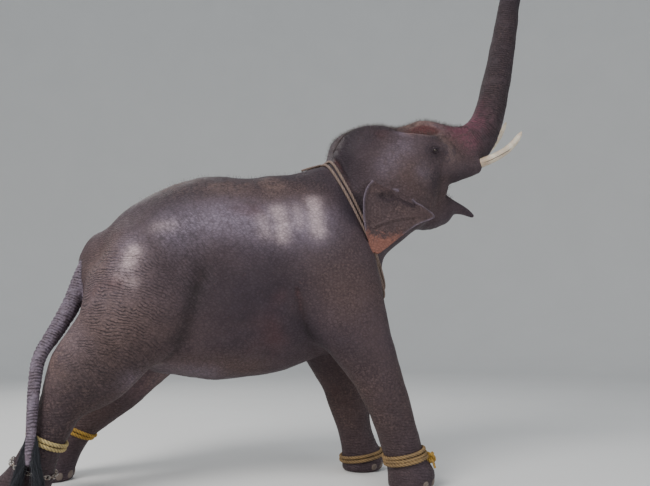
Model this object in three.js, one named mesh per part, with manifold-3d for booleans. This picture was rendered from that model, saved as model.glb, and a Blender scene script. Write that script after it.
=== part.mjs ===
// Asian elephant, life size, standing with its trunk raised and its mouth open.
// Millimetres. +X points towards the head, +Y to the animal's left, +Z up.
// The origin lies on the floor, under the middle of the animal's box.
import * as THREE from 'three';
import { mergeVertices } from 'three/addons/utils/BufferGeometryUtils.js';
import Module from 'manifold-3d';

const wasm = await Module();
wasm.setup();

// ---- driving sizes ----

const GAP = 0.3; // clearance between parts that touch
const FORWARD_SHIFT = -200; // from the frame that the stations use to the frame of the part
const HALF_GAP = GAP / 2;
const SHORTEST_EDGE = 0.6;
const RIGHT = -1;
const LEFT = 1;
const SIDES = [RIGHT, LEFT];
const SIDE_NAMES = { [RIGHT]: 'right', [LEFT]: 'left' };

// The head is turned about an axis that runs from poll to lip, with its right side down.
const HEAD_ROLL = THREE.MathUtils.degToRad(12);
const HEAD_PIVOT = new THREE.Vector3(1000, 0, 2550);
const HEAD_AXIS = new THREE.Vector3(1, 0, Math.tan(THREE.MathUtils.degToRad(8))).normalize();

// Each form is joined to the ones before it over a soft distance, its blend.
const BLENDS = {
  torso: 120,
  croup: 90,
  neck: 220,
  foreleg: 140,
  hindleg: 160,
  tuskSheath: 55,
  browRidge: 60,
  jaw: 60,
  lowerLip: 40,
  trunk: 110,
  mouthGap: 14,
  throat: 30,
};
// How far a limb's round end reaches, as a share of its smaller half size.
const ENDS = { torso: 0.75, croup: 0.9, neck: 0.6, leg: 0.9, tuskSheath: 0.8, jaw: 0.9, trunk: 0.4 };
// Smooth steps from one station to the next.
const BODY_STEPS = 6;
const TRUNK_STEPS = 5;
const TAIL_STEPS = 2;

// Stations along each spine: x, y, z, half width, half depth.
const TORSO = [
  [-1400, 0, 1530, 330, 530],
  [-1120, 0, 1590, 510, 720],
  [-700, 0, 1675, 585, 857],
  [-250, 0, 1720, 580, 850],
  [150, 0, 1785, 510, 790],
  [420, 0, 1860, 420, 730],
];
const CROUP = [
  [-1440, 0, 1930, 150, 110],
  [-1580, -15, 1790, 105, 85],
];
const NECK = [
  [200, 0, 2020, 400, 580],
  [580, 0, 2260, 360, 500],
  [960, -20, 2520, 330, 440],
];
// Legs: the y of each station is the distance from the middle plane.
const FORELEG = {
  [RIGHT]: [
    [200, 300, 2150, 150, 280],
    [380, 370, 1780, 180, 360],
    [500, 380, 1420, 190, 330],
    [660, 370, 1080, 175, 245],
    [800, 350, 800, 155, 190],
    [900, 340, 520, 148, 165],
    [980, 340, 250, 150, 152],
    [1030, 340, 80, 180, 190],
  ],
  [LEFT]: [
    [200, 300, 2150, 150, 280],
    [360, 370, 1780, 180, 360],
    [420, 380, 1420, 190, 340],
    [490, 370, 1080, 175, 260],
    [580, 350, 800, 155, 190],
    [670, 340, 520, 148, 165],
    [735, 340, 250, 150, 152],
    [780, 340, 80, 180, 190],
  ],
};
const HINDLEG = {
  [RIGHT]: [
    [-1020, 320, 1850, 200, 300],
    [-1150, 370, 1500, 220, 385],
    [-1270, 370, 1200, 210, 345],
    [-1500, 360, 900, 180, 305],
    [-1650, 350, 680, 150, 172],
    [-1720, 350, 500, 142, 130],
    [-1785, 350, 340, 142, 135],
    [-1840, 350, 200, 150, 155],
    [-1890, 350, 80, 175, 205],
  ],
  [LEFT]: [
    [-1000, 320, 1850, 200, 300],
    [-1080, 370, 1500, 220, 385],
    [-1170, 370, 1180, 210, 385],
    [-1330, 360, 870, 180, 285],
    [-1535, 350, 590, 150, 185],
    [-1692, 350, 430, 142, 138],
    [-1780, 350, 290, 142, 135],
    [-1840, 350, 180, 150, 155],
    [-1900, 350, 80, 175, 205],
  ],
};
const TRUNK = [
  [1250, -30, 2880, 260, 250],
  [1530, -55, 2875, 245, 250],
  [1755, -80, 2975, 200, 203],
  [1898, -105, 3160, 156, 152],
  [1978, -120, 3420, 135, 133],
  [2045, -130, 3720, 120, 118],
  [2120, -130, 4080, 110, 107],
  [2195, -125, 4420, 100, 100],
  [2300, -100, 4740, 85, 85],
  [2460, -80, 4960, 68, 68],
];
const TRUNK_END_HEIGHT = 4935;
const TRUNK_FINGER = [
  [2375, -84, 4915, 44, 30],
  [2420, -81, 4985, 36, 24],
  [2468, -79, 5030, 24, 16],
  [2500, -79, 5052, 12, 9],
];
const TAIL = [
  [-1560, -20, 1900, 100, 85],
  [-1628, -120, 1640, 84, 80],
  [-1672, -195, 1450, 76, 74],
  [-1750, -295, 1235, 68, 64],
  [-1822, -405, 1040, 52, 52],
  [-1826, -462, 850, 46, 46],
  [-1812, -515, 660, 39, 39],
  [-1797, -556, 500, 34, 34],
  [-1792, -580, 390, 29, 29],
  [-1790, -588, 305, 22, 20],
];
// Head, before its roll: stations and masses.
const JAW = [
  [1080, 0, 2380, 240, 200],
  [1330, 0, 2325, 205, 170],
  [1480, 0, 2345, 150, 135],
];
const LOWER_LIP = [
  [1480, 0, 2380, 135, 150],
  [1615, 0, 2385, 92, 74],
  [1712, 0, 2362, 58, 48],
  [1806, 0, 2307, 28, 24],
];
const TUSK_SHEATH = [
  [1350, 220, 2740, 110, 140],
  [1550, 215, 2725, 100, 120],
  [1720, 210, 2755, 70, 75],
];
const BROW_RIDGE = [
  [880, 215, 2985, 70, 50],
  [1080, 262, 2962, 60, 48],
  [1240, 296, 2938, 62, 50],
  [1330, 318, 2880, 55, 45],
];
// The gap between the lips widens forwards, and a narrower hollow leads on into the throat.
const MOUTH_GAP = [
  [1478, 0, 2543, 420, 14],
  [1545, 0, 2524, 420, 50],
  [1680, 0, 2520, 420, 118],
  [1840, 0, 2520, 420, 190],
];
const THROAT = [
  [1330, 0, 2505, 95, 22],
  [1480, 0, 2530, 120, 48],
];
const TUSK = {
  [RIGHT]: [
    [1600, 205, 2720, 45, 45],
    [1740, 230, 2775, 43, 43],
    [1830, 246, 2815, 41, 41],
    [1920, 260, 2862, 38, 38],
    [1990, 269, 2912, 34, 34],
    [2050, 275, 2972, 30, 30],
    [2095, 278, 3035, 24, 24],
    [2120, 280, 3080, 13, 13],
  ],
  [LEFT]: [
    [1600, 205, 2720, 46, 46],
    [1740, 230, 2775, 44, 44],
    [1850, 256, 2818, 42, 42],
    [1955, 284, 2873, 39, 39],
    [2055, 314, 2942, 36, 36],
    [2150, 345, 3028, 32, 32],
    [2228, 372, 3125, 26, 26],
    [2280, 390, 3212, 20, 20],
    [2310, 401, 3276, 12, 12],
  ],
};
const DOME = { centre: [748, 150, 2768], radii: [322, 232, 304], blend: 120 };
const BROW = { centre: [1270, 270, 2870], radii: [200, 90, 90], blend: 100 };
const CHEEK = { centre: [1115, 208, 2540], radii: [260, 170, 345], blend: 110 };
const MOUTH_SIDE = { centre: [1375, 135, 2550], radii: [105, 120, 150], blend: 70 };
const SKULL = { centre: [1050, 0, 2740], radii: [500, 340, 330], blend: 150 };
const FOREHEAD = { centre: [1330, 0, 2920], radii: [320, 220, 225], blend: 120 };
const FOREHEAD_HOLLOW = { centre: [1150, 195, 3105], radii: [230, 95, 115], blend: 80 };
const BREAST = { centre: [520, 0, 1550], radii: [360, 340, 420], blend: 200 };

const EYE_CENTRE = [1274, 350, 2860];
const EYE_RADIUS = 20;
const EYE_DEPTH = 7; // of the ball's middle under the skin
const EYE_SEGMENTS = [12, 8];
const LID = { width: 30, height: 19, thickness: 10, tilt: 0.15, curve: 70, segments: 16, sides: 6 };

const NOSTRIL = { radius: 17, inner: 10, spread: 26, depth: 90, sides: 8 };

// Ear outline in the plane of the head's side, from the point where the ear's middle is rooted.
const EAR_ROOT = [970, 400, 2460];
const EAR_OUTLINE = [
  [-118, 112],
  [-178, 163],
  [-262, 105],
  [-325, 15],
  [-352, -95],
  [-344, -255],
  [-306, -405],
  [-240, -520],
  [-157, -478],
  [-40, -385],
  [118, -270],
  [312, -165],
  [140, -42],
  [82, 4],
  [-20, 48],
  [-72, 70],
];
const EAR_HUB = [-80, -150];
const EAR_THICKNESS = 26;
const EAR_RIM_THICKNESS = 13;
const EAR_CORNERS = 26;
const EAR_RINGS = [0.3, 0.6, 0.85, 1];

const NAIL = { width: 34, height: 36, thickness: 15, level: 46, sunk: 4, tilt: 14, shrink: 0.07 };
const FORE_NAIL_ANGLES = [-66, -33, 0, 33, 66];
const HIND_NAIL_ANGLES = [-51, -17, 17, 51];

const NECK_ROPE_RADIUS = 13;
const NECK_ROPE_LIFT = 3;
const NECK_ROPE_STATIONS = 40;
const NECK_ROPE_CENTRE = { ahead: 220, height: 2220 };
// Where each neck rope crosses the nape, and how far it hangs clear under the throat.
const NECK_ROPES = { rear: { nape: 365, slack: 30 }, front: { nape: 407, slack: 50 } };
const ROPE_SIDES = 6;
const LEG_ROPE_RADIUS = 15;
const ROPE_BAND_SEGMENTS = 18;
const ROPE_LIFT = 4;
const ROPE_PITCH = 1.8; // from one turn to the next, in radii
const NECK_ROPE_NORMAL = [0.908, 0, 0.419];
const ROPE_END = { radius: 13, start: 335, length: 175, drift: 40, spans: 6, inside: 2000 };
const KNOT = {
  height: 232,
  angle: THREE.MathUtils.degToRad(-12),
  lift: 38,
  loop: 26,
  rope: 19,
  sides: 5,
  segments: 8,
  turns: [
    [90, 0, 10],
    [20, 70, 0],
    [-30, 15, 40],
  ],
};
const CHAIN = { wire: 7, width: 36, links: 26, height: 240, normal: [0.42, 0, 1] };

// Rope bands round the legs: the height of their middle, their lean and their turns.
const LEG_BANDS = {
  foreleg_right: { stations: FORELEG[RIGHT], side: RIGHT, height: 243, normal: [-0.22, 0, 1], turns: 3 },
  foreleg_left: { stations: FORELEG[LEFT], side: LEFT, height: 130, normal: [-0.18, 0, 1], turns: 2 },
  hindleg_right: { stations: HINDLEG[RIGHT], side: RIGHT, height: 440, normal: [0.5, 0, 1], turns: 2 },
  hindleg_left: { stations: HINDLEG[LEFT], side: LEFT, height: 410, normal: [0.5, 0, 1], turns: 2 },
};

// Cuts between the parts: a point on each plane and the plane's normal.
const NECK_CUT = { point: [150, 0, 2620], normal: [0.807, 0, 0.59] };
const HEAD_CUT = { point: [450, 0, 2700], normal: [0.75, 0, 0.66] };
const TRUNK_CUT = { point: [1800, -85, 3000], normal: [0.72, 0, 0.69] };
const FORELEG_CUT = { point: [620, 0, 1090], normal: [-0.313, 0, 0.95] };
const HINDLEG_CUT = { point: [-1380, 0, 960], normal: [0.447, 0, 0.894] };
const FORELEG_CUT_LENGTH = 1080;
const HINDLEG_CUT_LENGTH = 1240;
const FOOT_CUT_HEIGHT = 150;
const TRUNK_LOWER_LENGTH = 3560;
const TRUNK_UPPER_LENGTH = 4300;

// ---- colours ----

const skinMaterial = finish('#5f5250', 0.85);
const trunkMaterial = finish('#6a5352', 0.85);
const ivoryMaterial = finish('#d9cdb4', 0.45);
const eyeMaterial = finish('#2a1a12', 0.15);
const hairMaterial = finish('#23252e', 0.7);
const tanRopeMaterial = finish('#b9a08c', 0.9);
const yellowRopeMaterial = finish('#b59a55', 0.9);
const chainMaterial = finish('#8b8a88', 0.4, 0.9);

function finish(color, roughness, metalness = 0) {
  return new THREE.MeshStandardMaterial({ color, roughness, metalness });
}

// ---- the animal's form as a field: negative inside, positive outside ----

function smoothStations(stations, steps) {
  const ends = [extend(stations[0], stations[1]), extend(stations.at(-1), stations.at(-2))];
  const all = [ends[0], ...stations, ends[1]];
  const out = [];
  for (let i = 1; i < all.length - 2; i++) {
    for (let s = 0; s < steps; s++) {
      out.push(catmullRom(all[i - 1], all[i], all[i + 1], all[i + 2], s / steps));
    }
  }
  out.push([...stations.at(-1)]);
  return out;
}

function extend(end, next) {
  return end.map((value, k) => 2 * value - next[k]);
}

function catmullRom(a, b, c, d, t) {
  return b.map((value, k) => {
    const slope = c[k] - a[k];
    const square = 2 * a[k] - 5 * value + 4 * c[k] - d[k];
    const cube = 3 * value - a[k] - 3 * c[k] + d[k];
    return 0.5 * (2 * value + slope * t + square * t * t + cube * t * t * t);
  });
}

// A limb has an oval section that changes along a smooth spine, and round ends.
class Limb {
  constructor(stations, blend, capLength = 1, steps = 4) {
    this.rows = smoothStations(stations, steps);
    this.blend = blend;
    this.capLength = capLength;
    this.box = new THREE.Box3();
    for (const [x, y, z, width, depth] of this.rows) {
      const reach = Math.max(width, depth);
      this.box.expandByPoint(new THREE.Vector3(x - reach, y - reach, z - reach));
      this.box.expandByPoint(new THREE.Vector3(x + reach, y + reach, z + reach));
    }
  }

  nearest(x, y, z) {
    let best = { square: Infinity, index: 0, t: 0 };
    for (let i = 0; i < this.rows.length - 1; i++) {
      const a = this.rows[i];
      const b = this.rows[i + 1];
      const dx = b[0] - a[0];
      const dy = b[1] - a[1];
      const dz = b[2] - a[2];
      const along = (x - a[0]) * dx + (y - a[1]) * dy + (z - a[2]) * dz;
      const t = Math.min(1, Math.max(0, along / (dx * dx + dy * dy + dz * dz)));
      const square = (x - a[0] - t * dx) ** 2 + (y - a[1] - t * dy) ** 2 + (z - a[2] - t * dz) ** 2;
      if (square < best.square) {
        best = { square, index: i, t };
      }
    }
    return best;
  }

  distance(x, y, z) {
    const { square, index, t } = this.nearest(x, y, z);
    const a = this.rows[index];
    const b = this.rows[index + 1];
    const row = a.map((value, k) => value + t * (b[k] - value));
    const tangent = new THREE.Vector3(b[0] - a[0], b[1] - a[1], b[2] - a[2]).normalize();
    const side = new THREE.Vector3(0, 1, 0).addScaledVector(tangent, -tangent.y).normalize();
    const up = new THREE.Vector3().crossVectors(tangent, side);
    const offset = new THREE.Vector3(x - row[0], y - row[1], z - row[2]);
    const reach = Math.sqrt(square);
    const [, , , width, depth] = row;
    if (reach < 1e-3) {
      return -Math.min(width, depth);
    }
    let u = offset.dot(side);
    let v = offset.dot(up);
    let w = offset.dot(tangent);
    const beyondStart = index === 0 && t <= 0;
    const beyondEnd = index === this.rows.length - 2 && t >= 1;
    if (!beyondStart && !beyondEnd) {
      const scale = reach / Math.max(Math.hypot(u, v), 1e-6);
      u *= scale;
      v *= scale;
      w = 0;
    }
    const cap = Math.min(width, depth) * this.capLength;
    const ratio = Math.hypot(u / width, v / depth, w / cap);
    return reach * (1 - 1 / Math.max(ratio, 1e-6));
  }
}

// A mass is an ellipsoid, turned with the head where it belongs to the head.
class Mass {
  constructor({ centre, radii, blend }, turnBack = null) {
    this.centre = new THREE.Vector3(...centre);
    this.radii = radii;
    this.blend = blend;
    this.turnBack = turnBack;
    const reach = Math.max(...radii);
    this.box = new THREE.Box3().setFromCenterAndSize(
      this.centre,
      new THREE.Vector3(2 * reach, 2 * reach, 2 * reach),
    );
  }

  distance(x, y, z) {
    const offset = new THREE.Vector3(x, y, z).sub(this.centre);
    if (this.turnBack) {
      offset.applyQuaternion(this.turnBack);
    }
    const reach = Math.max(offset.length(), 1e-3);
    const [a, b, c] = this.radii;
    const ratio = Math.hypot(offset.x / a, offset.y / b, offset.z / c);
    return reach * (1 - 1 / Math.max(ratio, 1e-6));
  }
}

const headTurn = new THREE.Quaternion().setFromAxisAngle(HEAD_AXIS, HEAD_ROLL);
const headTurnBack = headTurn.clone().invert();

function withHead([x, y, z, ...sizes]) {
  const point = new THREE.Vector3(x, y, z).sub(HEAD_PIVOT).applyQuaternion(headTurn).add(HEAD_PIVOT);
  return [...point.toArray(), ...sizes];
}

function onSide(side, [x, y, z, ...sizes]) {
  return [x, side * y, z, ...sizes];
}

function headLimb(stations, blend, capLength, side = LEFT) {
  return new Limb(
    stations.map((station) => withHead(onSide(side, station))),
    blend,
    capLength,
  );
}

function headMass(mass, side = LEFT) {
  const centre = withHead(onSide(side, mass.centre));
  return new Mass({ ...mass, centre }, headTurnBack);
}

function legSpine(stations, side) {
  return stations.map((station) => onSide(side, station));
}

function bodyForms() {
  const forms = [
    new Limb(TORSO, BLENDS.torso, ENDS.torso, BODY_STEPS),
    new Limb(CROUP, BLENDS.croup, ENDS.croup),
    new Limb(NECK, BLENDS.neck, ENDS.neck, BODY_STEPS),
    new Mass(BREAST),
  ];
  for (const side of SIDES) {
    forms.push(new Limb(legSpine(FORELEG[side], side), BLENDS.foreleg, ENDS.leg));
    forms.push(new Limb(legSpine(HINDLEG[side], side), BLENDS.hindleg, ENDS.leg));
    for (const mass of [DOME, BROW, CHEEK, MOUTH_SIDE]) {
      forms.push(headMass(mass, side));
    }
    forms.push(headLimb(TUSK_SHEATH, BLENDS.tuskSheath, ENDS.tuskSheath, side));
  }
  forms.push(headMass(SKULL), headMass(FOREHEAD));
  forms.push(...SIDES.map((side) => headLimb(BROW_RIDGE, BLENDS.browRidge, 1, side)));
  forms.push(headLimb(JAW, BLENDS.jaw, ENDS.jaw));
  forms.push(headLimb(LOWER_LIP, BLENDS.lowerLip, 1));
  forms.push(new Limb(TRUNK, BLENDS.trunk, ENDS.trunk, TRUNK_STEPS));
  return forms;
}

function bodyHollows() {
  return [
    headLimb(MOUTH_GAP, BLENDS.mouthGap, 1),
    headLimb(THROAT, BLENDS.throat, 1),
    ...SIDES.map((side) => headMass(FOREHEAD_HOLLOW, side)),
  ];
}

const FORM_REACH = 300;

function blended(a, b, blend) {
  const overlap = Math.max(blend - Math.abs(a - b), 0) / blend;
  return Math.min(a, b) - overlap * overlap * blend * 0.25;
}

// Forms are joined one after another, and then the hollows are taken away.
function fieldOf(forms, hollows) {
  const steps = [
    ...forms.map((form) => ({ form, hollow: false })),
    ...hollows.map((form) => ({ form, hollow: true })),
  ];
  const boxes = steps.map(({ form }) => form.box.clone().expandByScalar(FORM_REACH));
  const point = new THREE.Vector3();
  return (x, y, z) => {
    point.set(x, y, z);
    let value = 1000;
    steps.forEach(({ form, hollow }, i) => {
      if (!boxes[i].containsPoint(point)) {
        return;
      }
      const next = form.distance(x, y, z);
      value = hollow ? -blended(-value, next, form.blend) : blended(value, next, form.blend);
    });
    return value;
  };
}

const body = fieldOf(bodyForms(), bodyHollows());

// ---- solids ----

function solidFromArrays(positions, triangles) {
  const mesh = new wasm.Mesh({
    numProp: 3,
    vertProperties: new Float32Array(positions),
    triVerts: new Uint32Array(triangles),
  });
  return new wasm.Manifold(mesh);
}

function solidFromGeometry(geometry) {
  const bare = geometry.clone();
  bare.deleteAttribute('normal');
  bare.deleteAttribute('uv');
  const merged = mergeVertices(bare, 1e-3);
  return solidFromArrays(merged.attributes.position.array, merged.index.array);
}

function geometryOf(solid) {
  const { vertProperties, triVerts } = solid.getMesh();
  const geometry = new THREE.BufferGeometry();
  geometry.setAttribute('position', new THREE.BufferAttribute(vertProperties, 3));
  geometry.setIndex(new THREE.BufferAttribute(triVerts, 1));
  geometry.computeVertexNormals();
  return geometry;
}

function fuse(solids) {
  return wasm.Manifold.union(solids);
}

// Joined sets of indices, for surfaces that share vertices.
class Groups {
  constructor(count) {
    this.parent = Array.from({ length: count }, (_, i) => i);
  }

  find(i) {
    let root = i;
    while (this.parent[root] !== root) {
      root = this.parent[root];
    }
    return root;
  }

  join(i, j) {
    this.parent[this.find(i)] = this.find(j);
  }
}

// Cutting leaves very short edges: each is drawn together into one vertex.
function withoutShortEdges({ vertProperties: positions, triVerts }) {
  const triangles = [...triVerts];
  const corner = (i) => new THREE.Vector3().fromArray(positions, 3 * i);
  const groups = new Groups(positions.length / 3);
  for (let i = 0; i < triangles.length; i++) {
    const next = i % 3 === 2 ? i - 2 : i + 1;
    const [a, b] = [triangles[i], triangles[next]];
    if (corner(a).distanceTo(corner(b)) < SHORTEST_EDGE) {
      groups.join(a, b);
    }
  }
  const kept = [];
  for (let i = 0; i < triangles.length; i += 3) {
    const [a, b, c] = triangles.slice(i, i + 3).map((v) => groups.find(v));
    if (a !== b && b !== c && c !== a) {
      kept.push(a, b, c);
    }
  }
  return { positions, triangles: kept };
}

// The largest closed surface of a solid, which fills sealed hollows and drops loose scraps.
function largest(solid) {
  const { positions, triangles } = withoutShortEdges(solid.getMesh());
  const groups = new Groups(positions.length / 3);
  for (let i = 0; i < triangles.length; i += 3) {
    groups.join(triangles[i], triangles[i + 1]);
    groups.join(triangles[i + 1], triangles[i + 2]);
  }
  const surfaces = new Map();
  for (let i = 0; i < triangles.length; i += 3) {
    const corners = triangles.slice(i, i + 3);
    const key = groups.find(corners[0]);
    const surface = surfaces.get(key) ?? { triangles: [], volume: 0 };
    const [a, b, c] = corners.map((v) => new THREE.Vector3().fromArray(positions, 3 * v));
    surface.triangles.push(...corners);
    surface.volume += a.dot(b.cross(c)) / 6;
    surfaces.set(key, surface);
  }
  const best = [...surfaces.values()].reduce((a, b) => (b.volume > a.volume ? b : a));
  const geometry = new THREE.BufferGeometry();
  geometry.setAttribute('position', new THREE.BufferAttribute(positions, 3));
  geometry.setIndex(best.triangles);
  return solidFromGeometry(geometry);
}

// A box whose top face has its middle at the point, facing along the normal.
function blockBelow(point, normal, length, width, depth) {
  const up = new THREE.Vector3(...normal).normalize();
  const across = new THREE.Vector3(0, 1, 0).addScaledVector(up, -up.y).normalize();
  const along = new THREE.Vector3().crossVectors(across, up);
  const geometry = new THREE.BoxGeometry(length, width, depth);
  geometry.translate(0, 0, -depth / 2);
  geometry.applyMatrix4(new THREE.Matrix4().makeBasis(along, across, up));
  geometry.translate(...point);
  return solidFromGeometry(geometry);
}

const EVERYTHING = 9000;

// All that lies behind a cut, kept half a gap away from it.
function behind({ point, normal }) {
  const start = shifted(point, normal, -HALF_GAP);
  return blockBelow(start, normal, EVERYTHING, EVERYTHING, EVERYTHING);
}

function inFrontOf({ point, normal }) {
  return behind({ point, normal: normal.map((value) => -value) });
}

function unit(direction) {
  const length = Math.hypot(...direction);
  return direction.map((value) => value / length);
}

function shifted(point, direction, distance) {
  const step = unit(direction);
  return point.map((value, k) => value + step[k] * distance);
}

// The same solid with its surface moved out, to cut a neighbour clear of it.
function swollen(solid, distance = GAP * 1.2) {
  const geometry = geometryOf(solid);
  const { position, normal } = geometry.attributes;
  for (let i = 0; i < position.count; i++) {
    position.setXYZ(
      i,
      position.getX(i) + distance * normal.getX(i),
      position.getY(i) + distance * normal.getY(i),
      position.getZ(i) + distance * normal.getZ(i),
    );
  }
  return solidFromArrays(position.array, geometry.index.array);
}

// The neighbour is also moved a little each way, as swelling doesn't reach past its thin edges.
const NUDGES = [
  [0, GAP, 0],
  [0, -GAP, 0],
  [0, 0, GAP],
  [0, 0, -GAP],
];

function clearOf(solid, neighbours) {
  const cut = (rest, neighbour) =>
    NUDGES.reduce(
      (left, nudge) => left.subtract(neighbour.translate(nudge)),
      rest.subtract(swollen(neighbour)),
    );
  return largest(neighbours.reduce(cut, solid));
}

// ---- skin surface by surface nets: one vertex a cell, moved onto the field's zero ----

function skinSolid(field, box, cell) {
  const count = ['x', 'y', 'z'].map((k) => Math.ceil((box.max[k] - box.min[k]) / cell) + 1);
  const [nx, ny, nz] = count;
  const at = (i, j, k) => (i * ny + j) * nz + k;
  const inBox = (x, y, z) =>
    Math.max(
      box.min.x + cell - x,
      x - (box.min.x + (nx - 2) * cell),
      box.min.y + cell - y,
      y - (box.min.y + (ny - 2) * cell),
      box.min.z + cell - z,
      z - (box.min.z + (nz - 2) * cell),
    );
  const bounded = (x, y, z) => Math.max(field(x, y, z), inBox(x, y, z));
  const values = new Float64Array(nx * ny * nz);
  for (let i = 0; i < nx; i++) {
    for (let j = 0; j < ny; j++) {
      for (let k = 0; k < nz; k++) {
        values[at(i, j, k)] = bounded(box.min.x + i * cell, box.min.y + j * cell, box.min.z + k * cell);
      }
    }
  }
  const vertexOf = new Map();
  const positions = [];
  for (let i = 0; i < nx - 1; i++) {
    for (let j = 0; j < ny - 1; j++) {
      for (let k = 0; k < nz - 1; k++) {
        const middle = crossingMiddle(values, at, i, j, k);
        if (middle) {
          const start = middle.map((value, n) => box.min.getComponent(n) + value * cell);
          vertexOf.set(at(i, j, k), positions.length / 3);
          positions.push(...ontoSkin(bounded, start, cell));
        }
      }
    }
  }
  const triangles = netTriangles(values, at, count, vertexOf);
  return solidFromArrays(positions, triangles);
}

const CORNERS = [0, 1, 2, 3, 4, 5, 6, 7].map((n) => [n & 1, (n >> 1) & 1, (n >> 2) & 1]);

// The mean of the places where the surface crosses the edges of one cell.
function crossingMiddle(values, at, i, j, k) {
  const sum = [0, 0, 0];
  let crossings = 0;
  for (const corner of CORNERS) {
    for (let axis = 0; axis < 3; axis++) {
      if (corner[axis] === 1) {
        continue;
      }
      const a = values[at(i + corner[0], j + corner[1], k + corner[2])];
      const far = corner.map((value, n) => (n === axis ? 1 : value));
      const b = values[at(i + far[0], j + far[1], k + far[2])];
      if (a < 0 !== b < 0) {
        const t = a / (a - b);
        corner.forEach((value, n) => {
          sum[n] += n === axis ? t : value;
        });
        crossings += 1;
      }
    }
  }
  return crossings ? [i, j, k].map((value, n) => value + sum[n] / crossings) : null;
}

function netTriangles(values, at, [nx, ny, nz], vertexOf) {
  const triangles = [];
  const neighbours = [
    [[1, 0, 0], [0, 1, 0], [0, 0, 1]],
    [[0, 1, 0], [0, 0, 1], [1, 0, 0]],
    [[0, 0, 1], [1, 0, 0], [0, 1, 0]],
  ];
  for (let i = 1; i < nx - 1; i++) {
    for (let j = 1; j < ny - 1; j++) {
      for (let k = 1; k < nz - 1; k++) {
        const inside = values[at(i, j, k)] < 0;
        for (const [ahead, p, q] of neighbours) {
          const next = values[at(i + ahead[0], j + ahead[1], k + ahead[2])] < 0;
          if (inside === next) {
            continue;
          }
          const cell = (a, b) =>
            vertexOf.get(at(i - a * p[0] - b * q[0], j - a * p[1] - b * q[1], k - a * p[2] - b * q[2]));
          const ring = [cell(1, 1), cell(0, 1), cell(0, 0), cell(1, 0)];
          if (!inside) {
            ring.reverse();
          }
          triangles.push(ring[0], ring[1], ring[2], ring[0], ring[2], ring[3]);
        }
      }
    }
  }
  return triangles;
}

function ontoSkin(field, start, cell) {
  let point = start;
  const step = 2;
  for (let pass = 0; pass < 3; pass++) {
    const value = field(...point);
    const slope = [0, 1, 2].map((n) => {
      const ahead = point.map((p, m) => (m === n ? p + step : p));
      const back = point.map((p, m) => (m === n ? p - step : p));
      return (field(...ahead) - field(...back)) / (2 * step);
    });
    const square = Math.max(slope[0] ** 2 + slope[1] ** 2 + slope[2] ** 2, 0.05);
    const move = slope.map((s) => (-value / square) * s);
    const limit = Math.min(1, (0.35 * cell) / Math.max(Math.hypot(...move), 1e-9));
    point = point.map((p, n) => p + move[n] * limit);
  }
  return point;
}

// ---- lofts: rings of rays from a spine out to the skin ----

function skinDistance(field, origin, direction, stride = 12) {
  let near = 0;
  let far = stride;
  const valueAt = (r) => field(...origin.map((value, k) => value + direction[k] * r));
  while (valueAt(far) < 0 && far < 2000) {
    near = far;
    far += stride;
  }
  for (let pass = 0; pass < 24; pass++) {
    const middle = (near + far) / 2;
    if (valueAt(middle) < 0) {
      near = middle;
    } else {
      far = middle;
    }
  }
  return near;
}

function ringBasis(normal) {
  const n = new THREE.Vector3(...normal).normalize();
  const u = new THREE.Vector3(0, 1, 0).addScaledVector(n, -n.y).normalize();
  const v = new THREE.Vector3().crossVectors(n, u);
  return { u, v };
}

function skinRing(centre, normal, sides) {
  const { u, v } = ringBasis(normal);
  const points = [];
  for (let i = 0; i < sides; i++) {
    const angle = (2 * Math.PI * i) / sides;
    const direction = u.clone().multiplyScalar(Math.cos(angle)).addScaledVector(v, Math.sin(angle));
    const reach = skinDistance(body, centre, direction.toArray());
    points.push(centre.map((value, k) => value + direction.getComponent(k) * reach));
  }
  return points;
}

// The wall between rings of equal count; round goes on from the last ring to the first.
function wallTriangles(ringCount, sides, round = false) {
  const triangles = [];
  const spans = round ? ringCount : ringCount - 1;
  for (let r = 0; r < spans; r++) {
    const next = ((r + 1) % ringCount) * sides;
    for (let i = 0; i < sides; i++) {
      const j = (i + 1) % sides;
      const a = r * sides + i;
      const b = r * sides + j;
      triangles.push(a, b, next + j, a, next + j, next + i);
    }
  }
  return triangles;
}

function loopSolid(rings) {
  return solidFromArrays(rings.flat(2), wallTriangles(rings.length, rings[0].length, true));
}

// A closed tube through rings of equal count, with a fan over each end.
function tubeSolid(rings, startHub, endHub) {
  const sides = rings[0].length;
  const positions = rings.flat(2);
  const triangles = wallTriangles(rings.length, sides);
  const startIndex = positions.length / 3;
  positions.push(...startHub, ...endHub);
  const last = (rings.length - 1) * sides;
  for (let i = 0; i < sides; i++) {
    const next = (i + 1) % sides;
    triangles.push(startIndex, next, i);
    triangles.push(startIndex + 1, last + i, last + next);
  }
  return solidFromArrays(positions, triangles);
}

// A closed tube with a flat end over its first and its last ring.
function capped(rings) {
  const middle = (ring) => {
    const mean = (k) => ring.reduce((sum, corner) => sum + corner[k] / ring.length, 0);
    return [mean(0), mean(1), mean(2)];
  };
  return tubeSolid(rings, middle(rings[0]), middle(rings.at(-1)));
}

// Rings from one cut to another along a spine, turning evenly between the two cuts.
function loftBetween(spine, first, last, { rings: ringCount, sides }) {
  const start = crossing(spine, first);
  const end = crossing(spine, last);
  const rings = [];
  const hubs = [];
  for (let i = 0; i < ringCount; i++) {
    const t = i / (ringCount - 1);
    const centre = pointAlong(spine, start + (end - start) * t);
    const normal = unit(first.normal).map((value, k) => value * (1 - t) + unit(last.normal)[k] * t);
    hubs.push(centre);
    rings.push(skinRing(centre, normal, sides));
  }
  return tubeSolid(rings, hubs[0], hubs.at(-1));
}

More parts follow.
